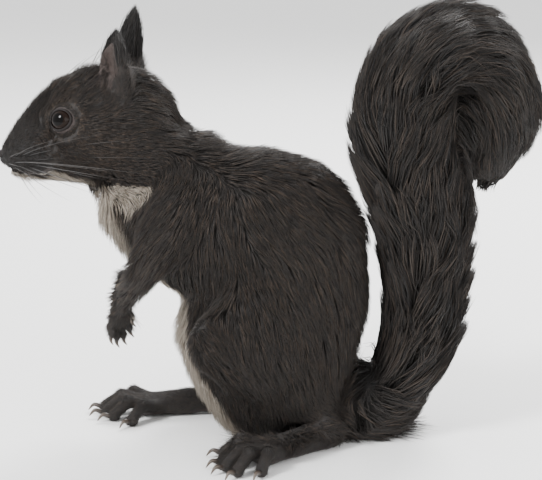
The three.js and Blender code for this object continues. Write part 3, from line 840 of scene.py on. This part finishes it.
def ripples(p, size, seed):
    """A smooth random vector at each point, that changes over about `size` millimetres."""
    waves = np.random.default_rng(seed)
    total = np.zeros((len(p), 3))
    for _ in range(5):
        total += np.sin(p @ waves.normal(0, 2.2 / size, (3, 3)) + waves.uniform(0, 2 * math.pi, 3))
    return total / 2.5


def fur_values(weights, key):
    return weights @ np.array([getattr(bone.fur, key) for bone in BONES])


def flow(place, normal, weights):
    """The direction that the coat lies in at each place."""
    way = weights @ np.array([unit(bone.end - bone.start) for bone in BONES])
    away = from_left(place, EYE_AT)
    near_eye = EYE_PARTED * np.exp(-((norm(away) / EYE_SWIRL) ** 4))[:, None]
    away[:, 0] *= np.sign(place[:, 0])
    return unit(flat_on(way * (1 - near_eye) + near_eye * unit(away), normal))


def slope(field, p):
    """The way in which a field on the coarse lattice grows fastest."""
    steps = np.eye(3) * COARSE.step
    return unit(np.stack([COARSE.read(field, p + step) - COARSE.read(field, p - step) for step in steps], -1))


def settle(p, outside, goal):
    """Moves points straight out or in until they are `goal` millimetres outside the animal's outline."""
    for _ in range(2):
        miss = np.clip(goal - COARSE.read(outside, p), -4, 4)
        p = p + slope(outside, p) * miss[:, None]
    return p


def gather(tips, roots, weights, amount):
    """How the tips are drawn together into tufts, and the root that leads each lock's tuft."""
    apart = fur_values(weights, "spacing")
    leaders = np.flatnonzero(rng.random(len(tips)) < 1 / (apart**2 * fur_values(weights, "share")))
    tree = kdtree.KDTree(len(leaders))
    for i, leader in enumerate(leaders):
        tree.insert(roots[leader], i)
    tree.balance()
    nearest = leaders[[tree.find(root)[1] for root in roots.tolist()]]
    offset = roots[nearest] - roots
    return (tips[nearest] - roots[nearest] + offset - (tips - roots)) * amount[:, None], nearest


def tuft_climb(tip, is_tail):
    """How far tips along the tail's rear edge move up or down to the ends of its tufts, and which tips those are."""
    rear = is_tail * smoothstep(17, 8, np.abs(tip[:, 0])) * smoothstep(52, 57, tip[:, 1])
    rear = rear * smoothstep(36, 40, tip[:, 2]) * smoothstep(93, 90, tip[:, 2])
    rise = TUFT_TIPS[np.abs(tip[:, 2, None] - TUFT_TIPS).argmin(1)] - tip[:, 2]
    return np.stack([np.zeros_like(rise), np.zeros_like(rise), rise * rear * 0.85], -1), rear


def lock_mesh(name, locks, rings, values):
    """A joined mesh of tapering locks: each is a thin three-sided blade that leaves its root along `out` and ends at
    its tip."""
    start, out, tip, normal, width, uv = locks
    count = len(start)
    width = width[:, None]
    side = unit(np.cross(unit(tip - start), normal))
    layers, coords = [], []
    for s in rings[:-1]:
        centre = start + (2 * s * (1 - s)) * out + s * s * (tip - start)
        thick = width * (ROOT_WIDTH if s == 0 else 1 - s * s * TAPER) / 2
        ring = [centre - side * thick, centre + side * thick, centre + normal * thick * BLADE]
        layers.append(np.stack(ring, 1))
        coords.append(np.stack([uv + (PATCH * (j / 2 - 0.5), PATCH * (s - 0.5)) for j in range(3)], 1))
    layers.append(tip[:, None])
    coords.append(uv[:, None] + (0, PATCH * 0.5))
    points = np.concatenate(layers, 1)
    coords = np.concatenate(coords, 1)
    each = points.shape[1]
    last = each - 4
    faces = [(0, 2, 1)]
    for a in range(last):
        b = a + 1 if a % 3 < 2 else a - 2
        faces += [(a, b, b + 3), (a, b + 3, a + 3)]
    faces += [(last + j, last + (j + 1) % 3, each - 1) for j in range(3)]
    faces = (np.array(faces)[None] + np.arange(count)[:, None, None] * each).reshape(-1, 3)
    points = points.reshape(-1, 3)
    low = points[:, 2] < LOWEST
    points[low, 2] = LOWEST + 0.25 * rng.random(low.sum())
    piece = new_mesh(name, points, faces)
    layer = piece.data.uv_layers.new(name="OFBake")
    layer.data.foreach_set("uv", coords.reshape(-1, 2)[faces.ravel()].astype(np.float32).ravel())
    along = np.append(np.repeat(rings[:-1], 3), 1)
    set_values(piece, along=np.tile(along, count), **{key: np.repeat(value, each) for key, value in values.items()})
    return piece


def is_clear(place):
    """False for roots on the lids' edges, under the nose or in the mouth."""
    from_nose = norm((place - NOSE_AT) / np.array(NOSE_HALF))
    in_mouth = (mouth_distance(place) < 0.3) & (place[:, 1] < -93.5)
    return (from_eye(place) > EYE_RADIUS + 0.45) & (from_nose > 1.12) & ~in_mouth


def lock_density(points, normals):
    """How many locks grow on a square millimetre at each point."""
    share = fur_values(bone_weights(points), "share")
    sole = underfoot(points, normals, (-0.3, -0.7), (5, 3))
    share = share * (1 - sole * SOLE_BARE) * (1 - EAR_BARE * ear_inside(points))
    share = share * (1 + EYE_DENSE * smoothstep(EYE_RADIUS + 7, EYE_RADIUS + 2, from_eye(points)))
    for parting, spread in PARTINGS:
        share = share * (1 + PARTING_DENSE * bell(norm(points - parting), spread))
    return share


def lock_lengths(place, weights, level, is_tail):
    """The locks' lengths: shorter round the eyes and at the tail's end, and enough to reach the coat's surface."""
    length = fur_values(weights, "length") * rng.uniform(*LENGTHS, len(place))
    length *= 0.4 + 0.6 * smoothstep(EYE_RADIUS + 1, EYE_RADIUS + 6, from_eye(place))
    length = np.maximum(length, np.minimum(-level * OVERLAP, LONGEST))
    from_end = norm(place - TAIL[-1][0])
    return length * np.where(is_tail, 0.22 + 0.78 * smoothstep(5, 32, from_end), 1)


def lock_paths(roots, parts, outside):
    """Each lock's start, the way it leaves its root, its tip and the root that leads its tuft."""
    place, normal, _, weights = roots
    count = len(place)
    is_tail = parts == "tail"
    level = COARSE.read(outside, place)
    length = lock_lengths(place, weights, level, is_tail)
    short_of = rng.random(count) ** 1.6 * np.where(is_tail, *SHORTEST)
    astray = (rng.random(count) < ASTRAY) * rng.random(count) * ASTRAY_RISE * length
    proud = np.where(is_tail, *PROUD) * smoothstep(-1, -3, level)
    swerve = WAVE * ripples(place, WAVE_SIZE, 3) + rng.normal(0, STRAY, (count, 3))

    # How far outside the solids each tip ends.
    way = unit(flat_on(flow(place, normal, weights) + swerve, normal))
    middle = place + way * length[:, None] / 2
    ahead = place + way * length[:, None] * 0.8
    for (y, z), spread, more in FULLER:
        proud += more * np.exp(-((ahead[:, 1] - y) ** 2 + (ahead[:, 2] - z) ** 2) / spread**2)
    goal = level * short_of + proud + astray
    goal = np.clip(goal, level + LEAST_RISE * length, level + MOST_RISE * length)

    # The middle and the tip, which follow the solids' outline, or the skin where they are pinned.
    pinned = weights @ np.array([bone.part.startswith(PINNED) for bone in BONES], float)
    pinned = np.maximum(smoothstep(0.3, 0.8, pinned), smoothstep(-1.2, -0.6, level))[:, None]
    middle += (settle(middle, outside, 0.42 * level + 0.58 * goal) - middle) * (1 - pinned)
    up = slope(outside, middle)
    way = unit(flat_on(flow(middle, up, bone_weights(middle)) + swerve, up))
    tip = settle(middle + way * length[:, None] / 2, outside, goal)
    flat_tip = unit(middle - place + normal * (0.12 + 0.1 * rng.random(count))[:, None] * length[:, None])
    flat_tip = place + flat_tip * length[:, None]
    tip += (flat_tip - tip) * pinned

    # The tufts.
    amount = fur_values(weights, "gather")
    pull, leader = gather(tip, place, weights, amount)
    tip += (settle(tip + pull, outside, goal + (goal[leader] - goal) * amount) - tip) * (1 - pinned)
    climb, rear = tuft_climb(tip, is_tail)
    tip = np.where(rear[:, None] > 0, settle(tip + climb, outside, goal + rear * 1.2), tip)
    middle = middle + pull * (1 - pinned) * 0.3 + climb * 0.5
    start = place - normal * ROOT_DEPTH - way * ROOT_BACK
    return start, 2 * (middle - start) - 0.5 * (tip - start), tip, leader


def piece_names(place, parts):
    """The piece of the coat that each lock belongs to."""
    label = parts.astype("<U24")
    is_tail = parts == "tail"
    stations = np.array([at for at, _ in TAIL], float)
    nearest = ((place[is_tail, None] - stations) ** 2).sum(-1).argmin(1)
    label[is_tail] = np.char.add("tail_", np.digitize(nearest, TAIL_BREAKS).astype("<U2"))
    for name in ("trunk", "neck", "head"):
        chosen = label == name
        label[chosen] = np.where(place[chosen, 0] > 0, f"{name}_left", f"{name}_right")
    return label


def parts_of(weights):
    return np.array([bone.part for bone in BONES])[weights.argmax(1)]


def make_coat(skin, outside, material):
    """The coat, in pieces of joined locks."""
    points, normals, _, _ = mesh_arrays(skin.data)
    roots = sow(skin, lock_density(points, normals))
    clear = is_clear(roots.place)
    roots = Roots(*(values[clear] for values in roots))
    parts = parts_of(roots.weights)
    start, out, tip, leader = lock_paths(roots, parts, outside)
    count = len(parts)
    values = {"pale": markings(roots.place, roots.normal, parts), "shade": rng.random(count),
              "tuft": rng.random(count)[leader], "brush": brush(parts)}
    width = fur_values(roots.weights, "width") * rng.uniform(*WIDTHS, count)
    locks = Locks(start, out, tip, roots.normal, width, roots.uv)
    label = piece_names(roots.place, parts)
    for name in np.unique(label):
        at = label == name
        is_tail = name.startswith("tail")
        rings = LONG if is_tail else PIN if name.startswith(PINNED) else SHORT
        piece = lock_mesh(f"coat_{name}", Locks(*(rows[at] for rows in locks)), rings,
                          {key: value[at] for key, value in values.items()})
        dress(piece, material, "tail_hair" if is_tail else "coat")


# ---- Materials ----


class Nodes:
    """Builds one material's nodes."""

    def __init__(self, name):
        self.material = bpy.data.materials.new(name)
        self.material.use_nodes = True
        self.tree = self.material.node_tree
        self.shader = self.tree.nodes["Principled BSDF"]

    def add(self, kind, inputs=None, **settings):
        node = self.tree.nodes.new(kind)
        for key, value in settings.items():
            setattr(node, key, value)
        for key, value in (inputs or {}).items():
            self.put(value, node.inputs[key])
        return node

    def put(self, value, socket):
        """Links an output to a socket, or sets the socket's own value."""
        if isinstance(value, bpy.types.NodeSocket):
            self.tree.links.new(value, socket)
        else:
            socket.default_value = value

    def value(self, name):
        return self.add("ShaderNodeAttribute", attribute_name=name).outputs["Fac"]

    def noise(self, scale, detail=3.0):
        return self.add("ShaderNodeTexNoise", {"Scale": scale, "Detail": detail}).outputs["Fac"]

    def math(self, operation, a, b):
        return self.add("ShaderNodeMath", {0: a, 1: b}, operation=operation).outputs[0]

    def times(self, a, b):
        return self.math("MULTIPLY", a, b)

    def step(self, value, low, high, to_low=0.0, to_high=1.0):
        inputs = {"Value": value, "From Min": low, "From Max": high, "To Min": to_low, "To Max": to_high}
        return self.add("ShaderNodeMapRange", inputs, interpolation_type="SMOOTHSTEP").outputs["Result"]

    def mix(self, factor, a, b):
        return self.add("ShaderNodeMix", {0: factor, 6: a, 7: b}, data_type="RGBA").outputs[2]

    def bump(self, height, strength, distance):
        inputs = {"Height": height, "Strength": strength, "Distance": distance}
        self.put(self.add("ShaderNodeBump", inputs).outputs["Normal"], self.shader.inputs["Normal"])

    def finish(self, colour, roughness, **inputs):
        for key, value in {"Base_Color": colour, "Roughness": roughness, **inputs}.items():
            self.put(value, self.shader.inputs[key.replace("_", " ")])
        return self.material


CHARCOAL = (0.0145, 0.0132, 0.0128, 1)
BROWN = (0.026, 0.0212, 0.0185, 1)
OCHRE = (0.09, 0.063, 0.045, 1)
BLACK = (0.0085, 0.008, 0.008, 1)
SLATE = (0.07, 0.065, 0.06, 1)
CREAM = (0.36, 0.325, 0.275, 1)
BUFF = (0.20, 0.165, 0.13, 1)
BARE_SKIN = (0.018, 0.013, 0.012, 1), (0.045, 0.031, 0.028, 1)
EAR_SKIN = (0.050, 0.034, 0.029, 1), (0.025, 0.018, 0.016, 1)
IRIS = (0.0035, 0.0018, 0.0012, 1), (0.010, 0.0048, 0.0028, 1)
PUPIL, LIMBUS = (0.0015, 0.0012, 0.0012, 1), (0.004, 0.003, 0.003, 1)
NOSE_SKIN = (0.008, 0.0065, 0.0065, 1), (0.02, 0.015, 0.0145, 1)
LID_SKIN = (0.005, 0.004, 0.004, 1), (0.012, 0.009, 0.0085, 1)
CLAW, CLAW_GRAIN = ((0.018, 0.012, 0.010, 1), (0.10, 0.075, 0.055, 1)), (0.012, 0.009, 0.008, 1)
WHISKER = (0.006, 0.005, 0.005, 1), (0.022, 0.017, 0.014, 1)
FLOOR = (0.90, 0.90, 0.895, 1), (0.93, 0.93, 0.925, 1)


def coat_colour(nodes, along):
    """Dark hairs with a few ochre bands on the back, cream ones below, and a darker tail.

    `pale` says how much a place takes of the belly's colour. Another value says how much it takes of the tail's
    colour:
    all of it on the tail, and 0.7 on the face, where it is painted shade. `shade` and `tuft` are random numbers, one
    for each lock and one for each tuft. `along` runs from 0 at a root to 1 at a tip.
    """
    shade, pale = nodes.value("shade"), nodes.value("pale")
    back = nodes.mix(nodes.step(nodes.noise(90.0), 0.35, 0.7), CHARCOAL, BROWN)
    back = nodes.mix(nodes.times(nodes.value("tuft"), 0.35), back, BLACK)
    banded = nodes.times(nodes.step(shade, 0.62, 0.9), nodes.step(along, 0.35, 0.6))
    banded = nodes.times(banded, nodes.step(along, 1.0, 0.82, 0.25, 1.0))
    back = nodes.mix(nodes.times(banded, 0.5), back, OCHRE)
    grizzled = nodes.times(nodes.step(pale, 0.0, 0.3), nodes.step(shade, 0.15, 0.6))
    back = nodes.mix(nodes.times(grizzled, 0.3), back, OCHRE)
    tail = nodes.mix(nodes.step(shade, 0.2, 0.95), BLACK, BROWN)
    tail = nodes.mix(nodes.times(banded, 0.22), tail, OCHRE)
    # The tail's darker colour, and on the face painted shade that darkens its brightly lit, flat-lying hair.
    back = nodes.mix(nodes.value("brush"), back, tail)
    belly = nodes.mix(nodes.step(shade, 0.1, 0.9), CREAM, BUFF)
    belly = nodes.mix(nodes.step(along, 0.5, 0.1), belly, SLATE)
    edge = nodes.math("ADD", pale, nodes.times(nodes.math("SUBTRACT", shade, 0.5), 0.35))
    return nodes.mix(nodes.step(edge, 0.3, 0.65), back, belly)


def coat_material():
    nodes = Nodes("coat")
    along = nodes.value("along")
    # Painted shade: each lock darkens towards its root, up to 0.6 of the way to black, as shade deep in the coat.
    colour = nodes.mix(nodes.step(along, 0.45, 0.0, 0.0, 0.6), coat_colour(nodes, along), BLACK)
    nodes.shader.inputs["Sheen Tint"].default_value = (0.75, 0.70, 0.66, 1)
    return nodes.finish(colour, nodes.step(nodes.value("shade"), 0, 1, 0.48, 0.66),
                        Specular_IOR_Level=0.19, Sheen_Weight=0.05, Sheen_Roughness=0.45)


def skin_material():
    nodes = Nodes("skin")
    bareness = nodes.value("bare")
    bare = nodes.mix(nodes.noise(400.0), *BARE_SKIN)
    bare = nodes.mix(nodes.value("ear"), bare, nodes.mix(nodes.noise(500.0), *EAR_SKIN))
    hairs = nodes.times(nodes.noise(1500.0, 2.0), nodes.math("SUBTRACT", 1.0, bareness))
    folds = nodes.times(nodes.noise(900.0, 4.0), bareness)
    nodes.bump(nodes.math("ADD", hairs, folds), 0.5, 0.0005)
    return nodes.finish(nodes.mix(bareness, coat_colour(nodes, nodes.value("along")), bare),
                        nodes.step(bareness, 0, 1, 0.75, 0.5), Specular_IOR_Level=0.35)


def eye_material():
    """A near black eye with a dark brown iris that shows only in strong light."""
    nodes = Nodes("eye")
    rim = nodes.value("rim")
    colour = nodes.mix(nodes.step(rim, 0.42, 0.5), PUPIL, nodes.mix(nodes.noise(900.0, 4.0), *IRIS))
    colour = nodes.mix(nodes.step(rim, 0.82, 0.95), colour, LIMBUS)
    return nodes.finish(colour, nodes.step(rim, 0.4, 1.0, 0.07, 0.12),
                        Coat_Weight=0.05, Coat_Roughness=0.02, Specular_IOR_Level=0.08)


def nose_material():
    nodes = Nodes("nose")
    pebbles = nodes.add("ShaderNodeTexVoronoi", {"Scale": 2300.0, "Randomness": 0.9}, feature="DISTANCE_TO_EDGE")
    nodes.bump(nodes.step(pebbles.outputs["Distance"], 0.0, 0.25), 0.5, 0.00012)
    return nodes.finish(nodes.mix(nodes.noise(600.0), *NOSE_SKIN),
                        nodes.step(nodes.noise(900.0), 0.3, 0.7, 0.38, 0.55), Specular_IOR_Level=0.25)


def lid_material():
    nodes = Nodes("lid")
    nodes.bump(nodes.noise(2500.0), 0.3, 0.0001)
    return nodes.finish(nodes.mix(nodes.noise(700.0), *LID_SKIN),
                        nodes.step(nodes.noise(900.0), 0.3, 0.7, 0.4, 0.55), Specular_IOR_Level=0.15)


def claw_material():
    nodes = Nodes("claw")
    grain = nodes.noise(1200.0, 2.0)
    colour = nodes.mix(nodes.step(nodes.value("along"), 0.25, 1.0), *CLAW)
    nodes.bump(grain, 0.25, 0.0001)
    return nodes.finish(nodes.mix(nodes.times(grain, 0.5), colour, CLAW_GRAIN),
                        nodes.step(grain, 0.2, 0.8, 0.25, 0.42), Specular_IOR_Level=0.5)


def whisker_material():
    nodes = Nodes("whisker")
    along = nodes.value("along")
    return nodes.finish(nodes.mix(along, *WHISKER), nodes.step(along, 0, 1, 0.35, 0.5))


def floor_material():
    nodes = Nodes("floor")
    return nodes.finish(nodes.mix(nodes.noise(3.0), *FLOOR), nodes.step(nodes.noise(40.0), 0, 1, 0.75, 0.85),
                        Specular_IOR_Level=0.2)


# ---- Eyes, nose, claws and whiskers ----


LID_STEPS = 72
CORNEA = 0.35  # how far it bulges
NOSTRIL = [(1.0, -2.1, -0.25), (1.8, -1.5, 0.3), (2.75, -0.6, -0.2)]  # a comma, from the nose's middle
LID_EDGE = (0.62, 0.34)  # half sizes of the lids' edge, across and out
WHISKER_RADIUS = 0.2
DROOP = np.array([-0.18, 0.3, -0.10])  # how far a whisker's end bends, as a share of its length
# Whiskers on the left side: y and z of the root, length, and how far it is swept back and up, in degrees.
WHISKERS = [
    (-108.6, 107.6, 18, 20, 24), (-108.8, 105.6, 16, 18, 4), (-108.2, 103.9, 13, 16, -16),
    (-106.4, 108.3, 27, 34, 26), (-106.6, 106.2, 26, 32, 8), (-106.2, 104.2, 22, 30, -10),
    (-104.0, 108.6, 36, 46, 24), (-104.2, 106.5, 38, 44, 8), (-103.8, 104.4, 32, 42, -8), (-104, 102.9, 22, 40, -24),
    (-101.4, 108.8, 41, 56, 20), (-101.6, 106.6, 44, 54, 6), (-101.2, 104.6, 38, 52, -8),
    (-99.0, 107.4, 40, 62, 10), (-98.8, 105.4, 36, 60, -4),
    (-93.5, 129.6, 20, 55, 60), (-91.0, 131.2, 23, 62, 55), (-88, 103.5, 22, 70, -10), (-104.5, 99.2, 11, 48, -55),
]


def turns(count):
    return np.linspace(0, 2 * math.pi, count, endpoint=False)


def revolve(first, middle, last):
    """Points and triangles of a closed tube: its rings are (n, sides, 3), with an end point before and after."""
    count, sides = middle.shape[:2]
    points = np.concatenate([first[None], middle.reshape(-1, 3), last[None]])
    j = np.arange(sides)
    after = (j + 1) % sides
    faces = [np.stack([np.zeros(sides, int), 1 + after, 1 + j], -1)]
    for k in range(count - 1):
        a, b = 1 + k * sides + j, 1 + k * sides + after
        faces += [np.stack([a, b, b + sides], -1), np.stack([a, b + sides, a + sides], -1)]
    end = 1 + (count - 1) * sides
    faces.append(np.stack([end + j, end + after, np.full(sides, 1 + count * sides)], -1))
    return points, np.concatenate(faces)


def make_eye(side, material):
    """An eyeball with a slightly bulging cornea in front, turned to where it looks."""
    gaze = GAZE * (side.sign, 1, 1)
    across = unit(np.cross(gaze, (0, 0, 1)))
    up = np.cross(across, gaze)
    angles = np.linspace(0, math.pi, 41)[1:-1]
    turn = turns(64)
    radius = EYE_RADIUS + CORNEA * smoothstep(0.95, 0.5, angles)
    centre = np.array(EYE_AT) * (side.sign, 1, 1)
    ring = np.cos(turn)[:, None] * across + np.sin(turn)[:, None] * up
    ahead, around = ((radius * wave(angles))[:, None, None] for wave in (np.cos, np.sin))
    middle = centre + ahead * gaze + around * ring
    points, faces = revolve(centre + gaze * (EYE_RADIUS + CORNEA), middle, centre - gaze * EYE_RADIUS)
    piece = new_mesh(f"eyeball_{side.name}", points, faces)
    set_values(piece, rim=np.arccos(np.clip(dot(unit(points - centre), gaze), -1, 1)) / 1.05)
    dress(piece, material, "eye", f"eye_{side.name}")


def make_nose(material):
    """The bare nose, with its two comma-shaped nostrils and the groove between them."""
    lattice = Lattice((-4.5, -116, 104.5), (4.5, -107, 112), 0.15)
    p = lattice.points() - np.array(NOSE_AT, np.float32)
    groove = bell(p[..., 0], 0.22) * smoothstep(1.2, 0, p[..., 2])
    p[..., 0] = np.abs(p[..., 0])
    shape = soft_min(ball(p, (0, 0, 0), NOSE_HALF), ball(p, (1.6, -0.3, 0.2), (1.2, 1.4, 1.3)), 0.9)
    hole = soft_min(rod(p, *NOSTRIL[:2], 0.45, 0.32), rod(p, *NOSTRIL[1:], 0.32, 0.2), 0.3)
    points, quads = lattice.surface(-soft_min(-shape, hole, 0.25) + 0.3 * groove)
    dress(new_mesh("nose_pad", *largest_part(points, quads[:, ::-1])), material, "nose_skin", "nose")


def turn_out(piece):
    """Turns all faces of a closed mesh outwards."""
    shape = bmesh.new()
    shape.from_mesh(piece.data)
    bmesh.ops.recalc_face_normals(shape, faces=shape.faces)
    shape.to_mesh(piece.data)
    shape.free()


def make_eyelids(side, material):
    """The bare dark edges of the lids: a soft ring round the eye, drawn out to a corner towards the nose."""
    turn = turns(LID_STEPS)
    corner = 1 + EYE_CORNER * bell(np.minimum(turn, 2 * math.pi - turn), 0.3)
    along, up = EYE_OPENING[0] * np.cos(turn) * corner, EYE_OPENING[1] * np.sin(turn)
    out = np.sqrt(np.maximum((EYE_RADIUS + 0.28) ** 2 - along**2 - up**2, 1.0))
    offset = along[:, None] * EYE_ALONG + up[:, None] * EYE_UP + out[:, None] * GAZE
    away = unit(offset)
    way = unit(np.roll(offset, -1, axis=0) - np.roll(offset, 1, axis=0))
    outer = np.cross(way, away)
    outer *= np.sign(dot(outer, offset - out[:, None] * GAZE))[:, None]
    angles = turns(10)[:, None, None]
    ring = offset + LID_EDGE[0] * np.cos(angles) * outer + LID_EDGE[1] * np.sin(angles) * away
    points = (ring + EYE_AT) * (side.sign, 1, 1)
    index = np.arange(ring.shape[0] * LID_STEPS).reshape(ring.shape[:2])
    after = np.roll(index, -1, axis=0)
    quads = np.stack([index, after, np.roll(after, -1, axis=1), np.roll(index, -1, axis=1)], -1).reshape(-1, 4)
    piece = new_mesh(f"eyelids_{side.name}", points.reshape(-1, 3), quads)
    turn_out(piece)
    dress(piece, material, "nose_skin")


def tubes(name, paths, radii, sides):
    """A joined mesh of tapering tubes, each through its own path, to a point at its end."""
    all_points, all_faces, along, count = [], [], [], 0
    turn = turns(sides)[None, :, None]
    for path, radius in zip(paths, radii):
        way = unit(np.gradient(path, axis=0))
        side = unit(np.cross(way, (0.31, 0.22, 0.92)))
        up = np.cross(way, side)
        ring = np.cos(turn) * side[:, None] + np.sin(turn) * up[:, None]
        points, faces = revolve(path[0], path[:-1, None] + ring[:-1] * radius[:-1, None, None], path[-1])
        all_points.append(points)
        all_faces.append(faces[:, ::-1] + count)
        share = np.linspace(0, 1, len(path))
        along.append(np.concatenate([[0], np.repeat(share[:-1], sides), [1]]))
        count += len(points)
    piece = new_mesh(name, np.concatenate(all_points), np.concatenate(all_faces))
    set_values(piece, along=np.concatenate(along))
    return piece


def make_claws(material):
    """The curved claws, joined for each hand and foot, each growing out of the tip of its digit."""
    t = np.linspace(0, 1, 14)
    for side in SIDES:
        for end, limb, digits in (("hand", hand_frame(side), FINGERS), ("foot", foot_frame(side), TOES)):
            paths = []
            for row in digits.rows:
                _, _, pad, root, bend, tip = digit_points(limb, digits, row)
                paths.append(curve_through([0, 0.3, 0.62, 1], [pad + (root - pad) * 0.35, root, bend, tip], t))
            radii = [digits.claw_radius * 1.3 * (1 - t**2 * 0.93)] * len(paths)
            piece = tubes(f"claws_{end}_{side.name}", paths, radii, 10)
            dress(piece, material, "claw", *(f"claw_{end}_{side.name}_{i + 1}" for i in range(len(paths))))


def make_whiskers(field, material):
    """Long bristles on the lips, and a few over the eyes, on the cheeks and on the chin."""
    paths, radii = [], []
    x = np.arange(0, 24, 0.2)
    t = np.linspace(0, 1, 16)[:, None]
    for y, z, length, back, rise in WHISKERS:
        inside = FINE.read(field, np.stack([x, np.full_like(x, y), np.full_like(x, z)], -1)) < 0
        root = np.array([x[inside].max() if inside.any() else 3.0, y, z])
        for side in SIDES:
            sweep, up = math.radians(back + rng.uniform(-3, 3)), math.radians(rise + rng.uniform(-3, 3))
            way = np.array([math.cos(sweep) * math.cos(up), math.sin(sweep) * math.cos(up), math.sin(up)])
            path = root - way * 0.8 + way * length * t + DROOP * length * t * t
            paths.append(path * np.array([side.sign, 1, 1]))
            radii.append(WHISKER_RADIUS * (0.55 + length / 80) * (1 - t[:, 0] * 0.93))
    dress(tubes("whiskers", paths, radii, 5), material, "coat")


# ---- Ear tufts ----

TUFT_SHARE = 9.0  # locks on a square millimetre
TUFT_WIDTHS = (0.22, 0.36)


def make_ear_tufts(skin, material):
    """The long dark hairs that stand up from the back and rim of each ear."""
    points, _, _, _ = mesh_arrays(skin.data)
    inside = ear_inside(points)
    for side in SIDES:
        top, tip, root = (ear_place(side, at, share) for at, share in (PINNA[-1][::2], EAR_TIP, PINNA[0][::2]))
        rise = unit(top - root) / np.linalg.norm(top - root)
        near = norm(points - (root + top) / 2) < 15
        share = near * (1 - inside) * smoothstep(0.3, 0.8, (points - root) @ rise)
        roots = sow(skin, TUFT_SHARE * share)
        count = len(roots.place)
        height = np.clip((roots.place - root) @ rise, 0, 1)
        spread = 1.4 * (1 - height) + 0.35
        end = tip + (roots.place - top) * 0.12 + rng.normal(0, 1, (count, 3)) * spread[:, None]
        shortened = rng.uniform(0.45, 1.05, count) ** 0.7 * (0.55 + 0.45 * height)
        end = roots.place + (end - roots.place) * shortened[:, None]
        out = (end - roots.place) * 0.5 + 0.16 * roots.normal * norm(end - roots.place)[:, None]
        values = {"pale": np.zeros(count), "shade": rng.uniform(0, 0.6, count), "tuft": rng.random(count),
                  "brush": np.ones(count)}
        width = rng.uniform(*TUFT_WIDTHS, count)
        locks = Locks(roots.place - roots.normal * 0.25, out, end, roots.normal, width, roots.uv)
        dress(lock_mesh(f"ear_tuft_{side.name}", locks, LONG, values), material, "coat")


# ---- Studio ----


LENS = 122.3
CAMERA_ELEVATION = math.radians(12)
CAMERA_TARGET = (0, -11, 75)
CAMERA_DISTANCE = 700
LIT = Vector((0, -0.01, 0.08))  # what the lamps point at, in metres
LAMPS = [
    ("key", (0.75, -0.75, 0.95), 0.4, 26),
    ("fill", (0.85, 0.65, 0.45), 0.9, 7),
    ("rim", (-0.7, 0.35, 0.8), 0.5, 18),
]
FLOOR_HALF = 6000
SKY = 1.5


def aim(holder, place, way):
    """Puts a lamp or the camera at a place in metres and turns it that way."""
    holder.location = place
    holder.rotation_mode = "QUATERNION"
    holder.rotation_quaternion = way.to_track_quat("-Z", "Y")


def make_camera():
    camera = bpy.data.cameras.new("camera")
    camera.sensor_width = 36
    camera.lens = LENS
    camera.clip_start = 0.01
    back = Vector((math.cos(CAMERA_ELEVATION), 0, math.sin(CAMERA_ELEVATION)))
    holder = linked("camera", camera)
    aim(holder, Vector(CAMERA_TARGET) * MM + back * CAMERA_DISTANCE * MM, -back)
    bpy.context.scene.camera = holder


def make_studio():
    corners = np.array([(-1, -1, 0), (1, -1, 0), (1, 1, 0), (-1, 1, 0)]) * FLOOR_HALF
    floor = new_mesh("floor", corners, np.array([[0, 1, 2, 3]]), smooth=False)
    floor.data.materials.append(floor_material())
    world = bpy.data.worlds.new("studio")
    world.use_nodes = True
    sky = world.node_tree.nodes["Background"]
    sky.inputs["Color"].default_value = (1.0, 1.0, 1.0, 1)
    sky.inputs["Strength"].default_value = SKY
    bpy.context.scene.world = world
    for name, place, size, power in LAMPS:
        light = bpy.data.lights.new(name, "AREA")
        light.shape = "DISK"
        light.size = size
        light.energy = power
        aim(linked(name, light), place, LIT - Vector(place))


# ---- Putting it together ----


def make_squirrel():
    field, outside = make_body()
    skin = make_skin(field)
    points, normals, _, _ = mesh_arrays(skin.data)
    parts = parts_of(bone_weights(points))
    set_values(skin, pale=markings(points, normals, parts), bare=bareness(points, normals), ear=ear_inside(points),
               brush=brush(parts), shade=0.2, tuft=0.5, along=0.3)
    dress(skin, skin_material(), "coat", *(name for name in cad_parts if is_flesh(name)))
    coat = coat_material()
    make_coat(skin, outside, coat)
    make_ear_tufts(skin, coat)
    eye, lid = eye_material(), lid_material()
    for side in SIDES:
        make_eye(side, eye)
        make_eyelids(side, lid)
    make_nose(nose_material())
    make_claws(claw_material())
    make_whiskers(field, whisker_material())


make_camera()
make_studio()
make_squirrel()
